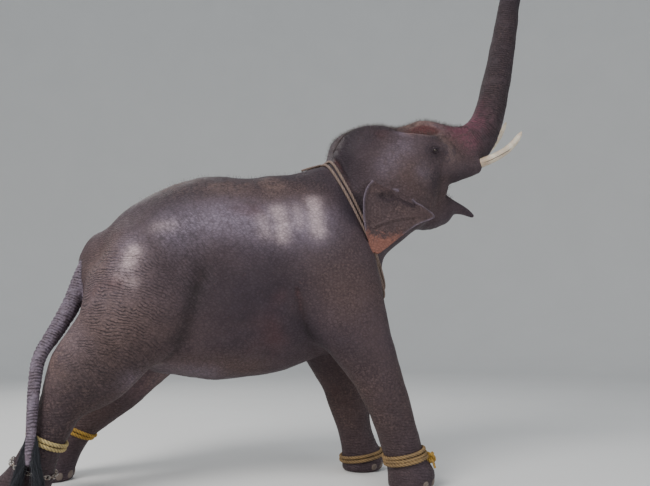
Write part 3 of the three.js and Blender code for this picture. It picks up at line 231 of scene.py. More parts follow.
class Limb:
    """An oval section that changes along a smooth spine, with round ends."""

    def __init__(self, stations, blend, cap=1.0, side=LEFT, head=False, steps=4):
        stations = np.array(stations, float)
        rows = np.hstack((placed(stations[:, :3], side, head), stations[:, 3:] * MM))
        self.rows = smooth_rows(rows, steps)
        self.blend = blend * MM
        self.cap = cap
        self.spine = self.rows[:, :3]
        lengths = np.linalg.norm(np.diff(self.spine, axis=0), axis=1)
        self.length_at = np.concatenate(((0,), np.cumsum(lengths)))
        reach = self.rows[:, 3:].max(axis=1)[:, None]
        self.low = (self.spine - reach).min(axis=0)
        self.high = (self.spine + reach).max(axis=0)

    def nearest(self, points):
        best = np.full(len(points), np.inf)
        index = np.zeros(len(points), int)
        place = np.zeros(len(points))
        for i, (a, b) in enumerate(zip(self.spine, self.spine[1:])):
            step = b - a
            t = np.clip((points - a) @ step / (step @ step), 0, 1)
            offset = points - a - t[:, None] * step
            square = np.einsum("ij,ij->i", offset, offset)
            closer = square < best
            best[closer] = square[closer]
            index[closer] = i
            place[closer] = t[closer]
        return best, index, place

    def along(self, points):
        """Length along the spine to the nearest place of each point."""
        _, index, t = self.nearest(points)
        return self.length_at[index] * (1 - t) + self.length_at[index + 1] * t

    def row_at(self, length):
        return np.array([np.interp(length, self.length_at, column) for column in self.rows.T]).T

    def distance(self, points):
        square, index, t = self.nearest(points)
        first, last = self.rows[index], self.rows[index + 1]
        row = first + (last - first) * t[:, None]
        offset = points - row[:, :3]
        tangent, side, up = axes(last[:, :3] - first[:, :3])
        u, v, w = (np.einsum("ij,ij->i", offset, way) for way in (side, up, tangent))
        reach = np.sqrt(square)
        beyond = ((index == 0) & (t <= 0)) | ((index == len(self.rows) - 2) & (t >= 1))
        scale = np.where(beyond, 1.0, reach / np.maximum(np.hypot(u, v), 1e-9))
        width, depth = row[:, 3], row[:, 4]
        cap = np.minimum(width, depth) * self.cap
        ratio = np.sqrt(
            (u * scale / width) ** 2 + (v * scale / depth) ** 2 + (np.where(beyond, w, 0) / cap) ** 2
        )
        inside = -np.minimum(width, depth)
        return np.where(reach > 1e-6, reach * (1 - 1 / np.maximum(ratio, 1e-6)), inside)


class Mass:
    """An ellipsoid, turned with the head where it belongs to it."""

    def __init__(self, form, side=LEFT, head=True):
        centre, radii, blend = form
        self.centre = placed(centre, side, head)
        self.turn = HEAD_TURN if head else np.eye(3)
        self.radii = np.array(radii, float) * MM
        self.blend = blend * MM
        self.low = self.centre - self.radii.max()
        self.high = self.centre + self.radii.max()

    def distance(self, points):
        offset = (points - self.centre) @ self.turn
        reach = np.maximum(np.linalg.norm(offset, axis=1), 1e-6)
        ratio = np.linalg.norm(offset / self.radii, axis=1)
        return reach * (1 - 1 / np.maximum(ratio, 1e-6))


def smooth_min(a, b, blend):
    overlap = np.maximum(blend - np.abs(a - b), 0) / blend
    return np.minimum(a, b) - overlap * overlap * blend * 0.25


def smooth_max(a, b, blend):
    return -smooth_min(-a, -b, blend)


class Trunk(Limb):
    """The trunk ends in a gently rounded face square to its spine."""

    END_ROUNDING = 0.035

    def distance(self, points):
        way = unit(self.spine[-1] - self.spine[-3])
        ahead = (points - placed(TRUNK_END)) @ way
        return smooth_max(super().distance(points), ahead, self.END_ROUNDING)


FIELD_REACH = 0.3
SOLE_ROUNDING = 0.022


class Field:
    """Forms joined one after another, then hollows taken away, then the floor."""

    def __init__(self, forms, hollows=()):
        self.forms = forms
        self.hollows = hollows

    def __call__(self, points):
        value = np.full(len(points), 1.0)
        for form in self.forms:
            near, distance = self.near(form, points)
            value[near] = smooth_min(value[near], distance, form.blend)
        for form in self.hollows:
            near, distance = self.near(form, points)
            value[near] = smooth_max(value[near], -distance, form.blend)
        return smooth_max(value, -points[:, 2], SOLE_ROUNDING)

    @staticmethod
    def near(form, points):
        low, high = form.low - FIELD_REACH, form.high + FIELD_REACH
        near = np.flatnonzero(np.all((points > low) & (points < high), axis=1))
        return near, form.distance(points[near])


def nostrils():
    way, across, _ = axes(placed(TRUNK[-1][:3]) - placed(TRUNK[-2][:3]))
    radius, ahead = NOSTRIL["radius"], NOSTRIL["ahead"] * MM
    holes = []
    for side in SIDES:
        mouth = placed(TRUNK_END) + side * across * NOSTRIL["spread"] * MM + ahead * way
        inner = mouth - way * (NOSTRIL["depth"] * MM + ahead)
        rows = [
            (*((point - FORWARD_SHIFT) / MM), size, size)
            for point, size in ((inner, radius * NOSTRIL["inner"]), (mouth, radius))
        ]
        holes.append(Limb(rows, 8))
    return holes


def body_forms():
    forms = [Limb(TORSO, 120, 0.75, steps=6), Limb(CROUP, 90, 0.9), Limb(NECK, 220, 0.6, steps=6)]
    forms.append(Mass(BREAST, head=False))
    for side in SIDES:
        forms.append(Limb(FORELEG[side], 140, 0.9, side))
        forms.append(Limb(HINDLEG[side], 160, 0.9, side))
        forms += [Mass(form, side) for form in (DOME, BROW, CHEEK, MOUTH_SIDE)]
        forms.append(Limb(TUSK_SHEATH, 55, 0.8, side, head=True))
    forms += [Mass(SKULL), Mass(FOREHEAD)]
    forms += [Limb(BROW_RIDGE, 60, 1, side, head=True) for side in SIDES]
    forms.append(Limb(JAW, 60, 0.9, head=True))
    forms.append(Limb(LOWER_LIP, 40, 1, head=True))
    forms.append(Trunk(TRUNK, 110, 0.4, steps=5))
    forms.append(Limb(TRUNK_FINGER, 30))
    return forms


FORMS = body_forms()
MOUTH_LIMB = Limb(MOUTH_GAP, 14, head=True)
HOLLOWS = [MOUTH_LIMB, Limb(THROAT, 30, head=True)]
HOLLOWS += [Mass(FOREHEAD_HOLLOW, side) for side in SIDES]
BODY = Field(FORMS, HOLLOWS + nostrils())
CLOSED_BODY = Field(FORMS)
TRUNK_LIMB = next(form for form in FORMS if isinstance(form, Trunk))
TAIL_LIMB = Limb(TAIL, 1)

PROBE = 0.0015
PROBES = np.array(((1, 1, 1), (1, -1, -1), (-1, 1, -1), (-1, -1, 1)), float) * PROBE


def value_and_slope(field, points):
    values = [field(points + probe) for probe in PROBES]
    slope = sum(value[:, None] * probe for value, probe in zip(values, PROBES)) / (4 * PROBE ** 2)
    return sum(values) / 4, slope


def onto_skin(points, passes=2, longest=0.02):
    """Moves points along the field's slope onto the skin."""
    for _ in range(passes):
        value, slope = value_and_slope(BODY, points)
        square = np.maximum(np.einsum("ij,ij->i", slope, slope), 0.05)
        step = -(value / square)[:, None] * slope
        length = np.linalg.norm(step, axis=1, keepdims=True)
        points = points + step * np.minimum(1, longest / np.maximum(length, 1e-9))
    return points


def skin_reach(origins, directions, farthest=1.3, stride=0.012):
    """How far it is from points inside the body to the skin, each in its own direction."""
    origins, directions = np.broadcast_arrays(np.atleast_2d(origins), np.atleast_2d(directions))
    steps = np.arange(stride, farthest, stride)
    samples = origins[:, None] + directions[:, None] * steps[None, :, None]
    outside = BODY(samples.reshape(-1, 3)).reshape(len(origins), -1) > 0
    high = steps[np.argmax(outside, axis=1)]
    low = high - stride
    for _ in range(12):
        middle = (low + high) / 2
        out = BODY(origins + directions * middle[:, None]) > 0
        high = np.where(out, middle, high)
        low = np.where(out, low, middle)
    return (low + high) / 2


# ---- surface nets: one corner in each cell that the skin crosses ----

CORNERS = [(i, j, k) for i in (0, 1) for j in (0, 1) for k in (0, 1)]
BLOCK = 4
NEAR_SKIN = 0.22
SKIN_LOW = np.array((-2.42, -0.80, -0.08))
SKIN_HIGH = np.array((2.50, 0.80, 5.16))


def grid(low, step, count):
    axes = [low[k] + step * np.arange(count[k]) for k in range(3)]
    return np.stack(np.meshgrid(*axes, indexing="ij"), -1)


def window(array, corner):
    """The part of a grid that starts at a corner of its first cell and ends at one of its last."""
    return array[tuple(slice(c, n - 1 + c) for c, n in zip(corner, array.shape))]


def net_values(field, cell):
    """Field values on a fine grid. Far from the skin only their sign is worked out."""
    blocks = np.ceil((SKIN_HIGH - SKIN_LOW) / (cell * BLOCK)).astype(int)
    coarse = grid(SKIN_LOW, cell * BLOCK, blocks + 1)
    rough = field(coarse.reshape(-1, 3)).reshape(blocks + 1)
    close = np.abs(rough) < NEAR_SKIN
    touched = np.zeros(blocks, bool)
    for corner in CORNERS:
        touched |= window(close, corner)
    count = blocks * BLOCK + 1
    fine = np.zeros(count, bool)
    spread = touched.repeat(BLOCK, 0).repeat(BLOCK, 1).repeat(BLOCK, 2)
    for corner in CORNERS:
        window(fine, corner)[...] |= spread
    nearest = [(np.arange(n) + BLOCK // 2) // BLOCK for n in count]
    values = rough[np.ix_(*nearest)]
    values[fine] = field(SKIN_LOW + cell * np.argwhere(fine))
    return values


def surface_net(field, cell):
    values = net_values(field, cell)
    inside = values < 0
    filled = sum(window(inside, corner).astype(int) for corner in CORNERS)
    cells = np.argwhere((filled > 0) & (filled < 8))
    number = np.full(filled.shape, -1)
    number[tuple(cells.T)] = np.arange(len(cells))
    total = np.zeros((len(cells), 3))
    crossings = np.zeros(len(cells))
    for corner in CORNERS:
        for axis in range(3):
            if corner[axis]:
                continue
            far = [c + (k == axis) for k, c in enumerate(corner)]
            a = values[tuple((cells + corner).T)]
            b = values[tuple((cells + far).T)]
            crossed = (a < 0) != (b < 0)
            place = np.tile(np.array(corner, float), (len(cells), 1))
            place[:, axis] += np.where(crossed, a / np.where(crossed, a - b, 1), 0)
            total[crossed] += place[crossed]
            crossings[crossed] += 1
    points = SKIN_LOW + (cells + total / crossings[:, None]) * cell
    return points, net_faces(inside, number)


def net_faces(inside, number):
    faces = []
    for axis, (p, q) in enumerate(((1, 2), (2, 0), (0, 1))):
        low = np.take(inside, range(inside.shape[axis] - 1), axis)
        high = np.take(inside, range(1, inside.shape[axis]), axis)
        edges = np.argwhere(low != high)
        leaving = low[tuple(edges.T)]

        def cell(back_p, back_q):
            at = edges.copy()
            at[:, p] -= back_p
            at[:, q] -= back_q
            return number[tuple(at.T)]

        ring = np.stack((cell(1, 1), cell(0, 1), cell(0, 0), cell(1, 0)), 1)
        ring[~leaving] = ring[~leaving][:, ::-1]
        faces.append(ring)
    return np.vstack(faces)


# ---- meshes and pieces ----


def mesh_from(name, points, faces):
    mesh = bpy.data.meshes.new(name)
    mesh.from_pydata(np.asarray(points).tolist(), [], [list(map(int, face)) for face in faces])
    mesh.update()
    return mesh


def add_object(name, data):
    piece = bpy.data.objects.new(name, data)
    bpy.context.scene.collection.objects.link(piece)
    return piece


def solid(name, points, faces):
    return add_object(name, mesh_from(name, points, faces))


def read(items, field, size=1, kind=float):
    """One field of all items of a mesh, such as the places of its corners."""
    values = np.empty(len(items) * size, kind)
    items.foreach_get(field, values)
    return values.reshape(-1, size) if size > 1 else values


def corner_points(mesh):
    return read(mesh.vertices, "co", 3)


def set_points(mesh, points):
    mesh.vertices.foreach_set("co", np.ascontiguousarray(points, np.float32).ravel())
    mesh.update()


def set_attribute(mesh, name, values, kind="FLOAT", field="value"):
    attribute = mesh.attributes.new(name, kind, "POINT")
    attribute.data.foreach_set(field, np.ascontiguousarray(values, np.float32).ravel())


def shade_smooth(mesh):
    mesh.polygons.foreach_set("use_smooth", np.ones(len(mesh.polygons), bool))


def evaluated(name, source):
    """The object with its modifiers applied, as a plain mesh in a new object."""
    shown = source.evaluated_get(bpy.context.evaluated_depsgraph_get())
    mesh = bpy.data.meshes.new_from_object(shown)
    mesh.name = name
    bpy.data.objects.remove(source)
    return add_object(name, mesh)


def joined(name, pieces):
    first = pieces[0]
    with bpy.context.temp_override(active_object=first, selected_editable_objects=pieces):
        bpy.ops.object.join()
    first.name = name
    return first


def finish_piece(piece, material, slot, *nodes):
    """Gives a piece its material, smooth shading and its body, and hides the nodes that it stands for. The
    slot is not used.
    """
    piece.data.materials.clear()
    piece.data.materials.append(material)
    shade_smooth(piece.data)
    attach(piece, "root")
    if nodes:
        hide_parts(*nodes)


def tube(rings, start, end):
    """Corners and faces of a closed tube through rings of equal count, with a hub at each end."""
    rings = np.asarray(rings, float)
    count, sides = rings.shape[:2]
    points = np.vstack((rings.reshape(-1, 3), start, end))
    index = np.arange(count * sides).reshape(count, sides)
    after = np.roll(index, -1, axis=1)
    faces = np.stack((index[:-1], after[:-1], after[1:], index[1:]), -1).reshape(-1, 4).tolist()
    hub = count * sides
    faces += [(hub, b, a) for a, b in zip(index[0], after[0])]
    faces += [(hub + 1, a, b) for a, b in zip(index[-1], after[-1])]
    return points, facing_out(points, faces)


def facing_out(points, faces):
    volume = 0.0
    for face in faces:
        a, b, c = points[face[0]], points[face[1]], points[face[2]]
        volume += a @ np.cross(b, c)
        if len(face) == 4:
            volume += a @ np.cross(c, points[face[3]])
    return faces if volume > 0 else [tuple(face)[::-1] for face in faces]


def gathered(shapes):
    """Several (corners, faces) as one."""
    points, faces, start = [], [], 0
    for corners, rings in shapes:
        points.append(corners)
        faces += [[corner + start for corner in ring] for ring in rings]
        start += len(corners)
    return np.vstack(points), faces


def limb_rings(limb, lengths, sides):
    """Oval rings round a limb's spine at the given lengths."""
    rows = limb.row_at(lengths)
    _, side, up = axes(np.gradient(rows[:, :3], axis=0))
    angles = even_angles(sides)
    wide = rows[:, 3:4, None] * side[:, None]
    deep = rows[:, 4:5, None] * up[:, None]
    return rows[:, None, :3] + turned_towards(wide, deep, angles), angles


# ---- the skin ----

HEAD_PLANE = {"point": (450, 0, 2700), "normal": (0.75, 0, 0.66)}
EYE_OPENING = (0.018, 0.0105)
LID_RADIUS = 0.0245
LID_HIDDEN_RADIUS = 0.013
LID_REACH = 0.040
LID_FOLD_DEPTH = 0.0026

# Creases in the skin: points, half width and depth. "head" marks those that turn with the head.
CREASES = (
    (
        ((1345, 330, 2740), (1352, 330, 2670), (1365, 310, 2590), (1375, 280, 2490), (1372, 240, 2400)),
        26, 5, "head",
    ),
    (((1505, 215, 2548), (1440, 240, 2520), (1395, 235, 2470)), 9, 6, "head"),
    (((1500, 190, 2470), (1440, 215, 2430), (1390, 205, 2385)), 8, 5, "head"),
    (((1150, 330, 2760), (1165, 350, 2700), (1210, 360, 2640)), 10, 4, "head"),
    (((1395, 300, 2900), (1450, 290, 2860), (1500, 270, 2800)), 9, 5, "head"),
    (((1460, 265, 2960), (1530, 270, 2890), (1580, 255, 2810)), 9, 5, "head"),
    (((640, 330, 2330), (560, 335, 2440), (500, 300, 2560), (460, 263, 2666), (420, 130, 2760)), 20, 12),
    (((700, 330, 2120), (620, 330, 2240), (560, 340, 2330)), 18, 7),
    (((95, 460, 1560), (130, 450, 1400), (170, 430, 1250), (205, 400, 1150)), 24, 13),
    (((-663, 575, 1650), (-700, 545, 1480), (-745, 513, 1300), (-810, 470, 1150)), 58, 10),
    (((-740, 480, 1180), (-830, 430, 1060), (-900, 360, 950)), 24, 10),
    (((560, 250, 1290), (640, 200, 1180), (690, 180, 1060)), 24, 9),
)
# Low swellings where bone or muscle lies under the skin: centre, radius and height.
SWELLINGS = (
    ((-1213, 538, 1837), 120, 18), ((60, 520, 1980), 150, 12), ((230, 440, 1190), 95, 12),
    ((300, 520, 1700), 210, 14), ((-1330, 560, 1300), 200, 12), ((870, 480, 690), 80, 8),
    ((-1720, 350, 620), 70, 8),
)
LUMPS = {"count": 14, "longest": 0.75, "shortest": 0.16, "height": 0.0032, "seed": 5}


def head_place(points):
    """How far points lie ahead of the plane behind the head."""
    return (points - placed(HEAD_PLANE["point"])) @ unit(HEAD_PLANE["normal"])


def eye_axes(side):
    """An eye's centre, and the ways forward, up and out of it."""
    low, high = (np.array(corner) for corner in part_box(f"eye_{SIDE_NAMES[side]}"))
    centre = (low + high) / 2
    _, slope = value_and_slope(CLOSED_BODY, centre[None])
    outward = unit(slope[0])
    forward = HEAD_TURN @ np.array((1.0, 0.0, 0.16))
    forward = unit(forward - (forward @ outward) * outward)
    upward = np.cross(outward, forward) * -side
    return centre, forward, upward, outward


def wanted_size(points, base, fine):
    """The edge length that the skin needs at each point."""
    size = np.full(len(points), base)
    size[head_place(points) > -0.05] = fine
    size[points[:, 2] < 0.11] = 1.15 * fine
    near_mouth = np.abs(MOUTH_LIMB.distance(points)) < 0.035
    near_mouth &= (head_place(points) > 0.4) & (np.abs(points[:, 1]) < 0.34) & (points[:, 2] < 2.95)
    size[near_mouth] = 0.55 * fine
    size[points[:, 2] > 4.86] = 0.5 * fine
    for side in SIDES:
        centre, _, _, _ = eye_axes(side)
        reach = np.linalg.norm(points - centre, axis=1)
        size[reach < 0.14] = 0.5 * fine
        size[reach < 0.055] = 0.24 * fine
    return size


def refined(points, faces, base, fine):
    """Splits the skin's faces until they are small enough, with every corner on the skin."""
    work = bmesh.new()
    mesh = mesh_from("skin_draft", points, faces)
    work.from_mesh(mesh)
    bpy.data.meshes.remove(mesh)
    for _ in range(3):
        middles = np.array([face.calc_center_median() for face in work.faces])
        sizes = np.array([math.sqrt(face.calc_area()) for face in work.faces])
        split = sizes > 1.35 * wanted_size(middles, base, fine)
        edges = {edge for face, go in zip(work.faces, split) if go for edge in face.edges}
        if not edges:
            break
        bmesh.ops.subdivide_edges(work, edges=list(edges), cuts=1, use_grid_fill=True)
        settled = onto_skin(np.array([corner.co for corner in work.verts]))
        for corner, place in zip(work.verts, settled):
            corner.co = place
    mesh = bpy.data.meshes.new("skin_draft")
    work.to_mesh(mesh)
    work.free()
    return mesh


def line_distance(points, line):
    """Distance of points to a line of several spans."""
    best = np.full(len(points), np.inf)
    for a, b in zip(line, line[1:]):
        step = b - a
        t = np.clip((points - a) @ step / max(step @ step, 1e-9), 0, 1)
        best = np.minimum(best, np.linalg.norm(points - a - t[:, None] * step, axis=1))
    return best


def crease_relief(points):
    """Height of the creases and their banks, and how deep in a fold each point lies, which sets the painted
    shade in the folds.
    """
    height = np.zeros(len(points))
    fold = np.zeros(len(points))
    for line, width, depth, *head in CREASES:
        for side in SIDES:
            path = smooth_rows(onto_skin(placed(line, side, bool(head)), 4, 0.05), 4)
            path = onto_skin(path)
            away = line_distance(points, path) / (width * MM)
            groove = np.exp(-away ** 2)
            bank = np.exp(-(away - 2.0) ** 2)
            height += depth * MM * (0.3 * bank - groove)
            fold = np.maximum(fold, groove * min(1.0, depth / 10))
    return height, fold


def swelling_relief(points):
    height = np.zeros(len(points))
    for centre, radius, lift in SWELLINGS:
        for side in SIDES:
            away = np.linalg.norm(points - placed(centre, side), axis=1) / (radius * MM)
            height += lift * MM * np.exp(-away ** 2)
    return height


def lump_relief(points):
    """Slow unevenness, from a few waves in seeded directions."""
    draw = np.random.default_rng(LUMPS["seed"])
    height = np.zeros(len(points))
    waves = np.geomspace(LUMPS["longest"], LUMPS["shortest"], LUMPS["count"])
    for wave in waves:
        way = unit(draw.normal(size=3))
        height += np.sin(points @ way * math.tau / wave + draw.uniform(0, math.tau)) * wave
    return LUMPS["height"] * height / waves.mean() / 2


def ring_relief(points):
    """Creases round the trunk, deeper along its root and finer towards its end."""
    place = TRUNK_LIMB.along(points)
    mask = smoothstep(0.35, 0.75, place) * (head_place(points) > 0.3)
    waver = 0.008 * np.sin(points @ np.array((21.0, 33.0, 17.0)))
    waver += 0.005 * np.sin(points @ np.array((51.0, -38.0, 44.0)))
    phase = (place + waver) / 0.042
    root = smoothstep(0.95, 0.45, place)
    return -(0.0022 + 0.0022 * root) * mask * np.abs(np.cos(math.pi * phase)) ** 4


def shape_lids(points):
    """Raises the lids over the eyeballs and opens them."""
    for side in SIDES:
        centre, forward, upward, outward = eye_axes(side)
        offset = points - centre
        a, b, c = offset @ forward, offset @ upward, offset @ outward
        near = np.flatnonzero((np.hypot(a, b) < 2.4 * LID_REACH) & (c > -0.03))
        a, b, c = a[near], b[near], c[near]
        wide, high = EYE_OPENING
        droop = b - 0.06 * wide * np.cos(a / wide * 2)
        ratio = np.hypot(a / wide, droop / high)
        flat = np.hypot(a, b)
        cap = np.sqrt(np.maximum(LID_RADIUS ** 2 - flat ** 2, 0))
        weight = 1 - smoothstep(0.018, LID_REACH, flat)
        lid = c + (np.maximum(cap, c) - c) * weight
        fade = np.exp(-((ratio - 2.4) / 1.6) ** 2) * (ratio > 1.2)
        lid += LID_FOLD_DEPTH * np.cos((ratio - 1) * 5.2) * fade
        rim = np.abs(ratio - 1) < 0.16
        a = np.where(rim, a / ratio, a)
        b = np.where(rim, b / ratio, b)
        inner = np.sqrt(np.maximum(LID_HIDDEN_RADIUS ** 2 - flat ** 2, 0))
        depth = np.where(ratio < 0.84, np.minimum(inner, 0.010), lid)
        points[near] = centre + a[:, None] * forward + b[:, None] * upward + depth[:, None] * outward
    return points


# ---- ears ----


def ear_stand(dx, dz):
    """How far the middle of an ear's sheet stands out, in millimetres."""
    point, normal = EAR_HINGE["point"], EAR_HINGE["normal"]
    behind = np.maximum(0, -(dx - point[0]) * normal[0] - (dz - point[1]) * normal[1])
    rise = 1 - np.exp(-behind / 70)
    cup = 30 * np.exp(-(((dx + 10) / 120) ** 2 + ((dz + 105) / 75) ** 2))
    curl = 38 * np.maximum(0, (-dx - 240) / 110) ** 2
    hang = 0.1 * np.maximum(0, -dz - 150)
    return -40 + 118 * rise - cup + curl - hang


# Ridges and furrows of an ear, from its root: points, half width and height.
EAR_LINES = (
    (((-195, 5), (-148, 20), (-26, 51), (94, 12), (146, -38), (214, -105), (282, -172)), 17, 22),
    (((-174, -28), (-97, -34), (-10, -5), (80, -35), (130, -90)), 28, -20),
    (((-246, -289), (-161, -253), (-32, -215), (107, -194), (246, -181)), 11, 9),
    (((-230, -310), (-150, -276), (-28, -240), (100, -215)), 12, -4),
    (((-60, -90), (-120, -190), (-170, -330)), 13, 3),
    (((-10, -100), (0, -200), (-30, -330)), 13, 3),
)


def ear_detail(dx, dz, fraction):
    """Ridges, the rolled upper rim and the waves of the lower edge, in millimetres."""
    flat = np.stack(np.broadcast_arrays(dx, dz), 1)
    lines = sum(
        height * np.exp(-(line_distance(flat, np.array(line, float)) / width) ** 2)
        for line, width, height in EAR_LINES
    )
    roll = 13 * smoothstep(0.84, 1.0, fraction) * smoothstep(-260, 20, dz) * smoothstep(30, -120, dx)
    waves = 5 * np.sin(dx / 31 + dz / 52) * smoothstep(0.4, 1.0, fraction) * smoothstep(-120, -300, dz)
    veins = 1.6 * np.sin(dx / 12 + 3 * np.sin(dz / 60)) * np.sin(dz / 37 + dx / 70)
    return lines + roll + waves + veins


def closed_curve(points, count):
    """Evenly spaced points of a smooth closed curve."""
    points = np.array(points, float)
    ring = np.vstack((points[-1:], points, points[:2]))
    dense = smooth_rows(ring, 24)[24:-24]
    lengths = np.concatenate(((0,), np.cumsum(np.linalg.norm(np.diff(dense, axis=0), axis=1))))
    places = np.linspace(0, lengths[-1], count, endpoint=False)
    return np.stack([np.interp(places, lengths, column) for column in dense.T], 1)


EAR_RIM = closed_curve(EAR_OUTLINE, 120)


def ear_sheet(side):
    root = placed(EAR_ROOT, side, True)
    fractions = 1 - (1 - np.linspace(0.04, 1, 30)) ** 1.25
    hub = np.array(EAR_HUB, float)

    def face(way):
        rings = []
        for fraction in fractions:
            flat = hub + (EAR_RIM - hub) * fraction
            rings.append(ear_points(root, side, flat[:, 0], flat[:, 1], way, fraction))
        return rings

    rings = face(1) + face(-1)[::-1]
    centre = [ear_points(root, side, hub[:1], hub[1:], way, 0.0)[0] for way in (1, -1)]
    return tube(rings, centre[0], centre[1])


def ear_points(root, side, dx, dz, way, fraction):
    half = (EAR_THICKNESS + (EAR_RIM_THICKNESS - EAR_THICKNESS) * fraction ** 3) / 2
    if fraction > 0.99:
        half *= 0.35
    stand = ear_stand(dx, dz) + ear_detail(dx, dz, fraction) + way * half
    return root + np.stack((dx, side * stand, dz), 1) * MM


def ear_fraction(dx, dz):
    """0 at the hub of an ear's sheet and 1 at its rim."""
    rim = EAR_RIM - np.array(EAR_HUB)
    angles = np.arctan2(rim[:, 1], rim[:, 0])
    order = np.argsort(angles)
    reach = np.linalg.norm(rim, axis=1)[order]
    angle = np.arctan2(dz - EAR_HUB[1], dx - EAR_HUB[0])
    limit = np.interp(angle, angles[order], reach, period=math.tau)
    return np.hypot(dx - EAR_HUB[0], dz - EAR_HUB[1]) / limit


TAIL_SIDES = 36
TAIL_RING_STEP = 0.0075
TAIL_CREASE_STEP = 0.034


def tail_tube():
    lengths = np.arange(0.0, TAIL_LIMB.length_at[-1], TAIL_RING_STEP)
    rings, _ = limb_rings(TAIL_LIMB, lengths, TAIL_SIDES)
    outward = unit(rings - rings.mean(axis=1, keepdims=True))
    waver = 0.006 * np.sin(rings @ np.array((60.0, 40.0, 25.0)))
    waver = waver + 0.009 * np.sin(rings @ np.array((9.0, 17.0, 31.0)))
    phase = (lengths[:, None] + waver) / TAIL_CREASE_STEP
    grooves = 0.0058 * np.abs(np.cos(math.pi * phase)) ** 3 * smoothstep(1.6, 0.9, lengths)[:, None]
    rings = rings - outward * grooves[..., None]
    end = rings[-1].mean(axis=0)
    return tube(rings, rings[0].mean(axis=0), end + unit(end - rings[-2].mean(axis=0)) * 0.012)


PART_SLOTS = {"body": 0, "ear_right": 1, "ear_left": 2, "tail": 3}


def fused_skin(body_mesh):
    """The body, the ears and the tail as one closed surface; each keeps a material index."""
    skin = add_object("skin", body_mesh)
    shapes = {f"ear_{SIDE_NAMES[side]}": ear_sheet(side) for side in SIDES}
    shapes["tail"] = tail_tube()
    others = {name: solid(f"{name}_sheet", *shape) for name, shape in shapes.items()}
    for name in PART_SLOTS:
        holder = bpy.data.materials.new(f"{name}_part")
        for piece in (skin, *others.values()):
            piece.data.materials.append(holder)
    for name, other in others.items():
        part = np.full(len(other.data.polygons), PART_SLOTS[name])
        other.data.polygons.foreach_set("material_index", part)
        union = skin.modifiers.new(name, "BOOLEAN")
        union.operation = "UNION"
        union.solver = "MANIFOLD"
        union.object = other
    joined_skin = evaluated("skin", skin)
    for other in others.values():
        bpy.data.objects.remove(other)
    return joined_skin


def corner_parts(mesh):
    """The part that each corner belongs to: body, ear or tail."""
    loops = read(mesh.loops, "vertex_index", kind=int)
    totals = read(mesh.polygons, "loop_total", kind=int)
    slots = read(mesh.polygons, "material_index", kind=int)
    part = np.zeros(len(mesh.vertices), int)
    np.maximum.at(part, loops, np.repeat(slots, totals))
    return part


def relax_joins(mesh, part, reach=0.02, passes=10):
    """Evens out the corners where the ears and the tail leave the body."""
    points = corner_points(mesh)
    a, b = read(mesh.edges, "vertices", 2, int).T
    weight = np.zeros(len(points))
    body = np.flatnonzero(part == PART_SLOTS["body"])
    for slot in list(PART_SLOTS.values())[1:]:
        grown = np.flatnonzero(part == slot)
        low, high = points[grown].min(axis=0) - reach * 2, points[grown].max(axis=0) + reach * 2
        near = body[np.all((points[body] > low) & (points[body] < high), axis=1)]
        tree = KDTree(len(grown))
        for i in grown:
            tree.insert(points[i], i)
        tree.balance()
        gap = np.array([tree.find(points[i])[2] for i in near])
        weight[near] = np.maximum(weight[near], np.exp(-(gap / reach) ** 2))
        depth = np.abs(BODY(points[grown]))
        weight[grown] = np.exp(-(depth / reach) ** 2)
    counts = np.bincount(np.concatenate((a, b)), minlength=len(points))[:, None]
    for _ in range(passes):
        total = np.zeros_like(points)
        np.add.at(total, a, points[b])
        np.add.at(total, b, points[a])
        points += 0.6 * weight[:, None] * (total / np.maximum(counts, 1) - points)
    set_points(mesh, points)


# ---- what the skin's finish reads: masks and lengths at its corners ----

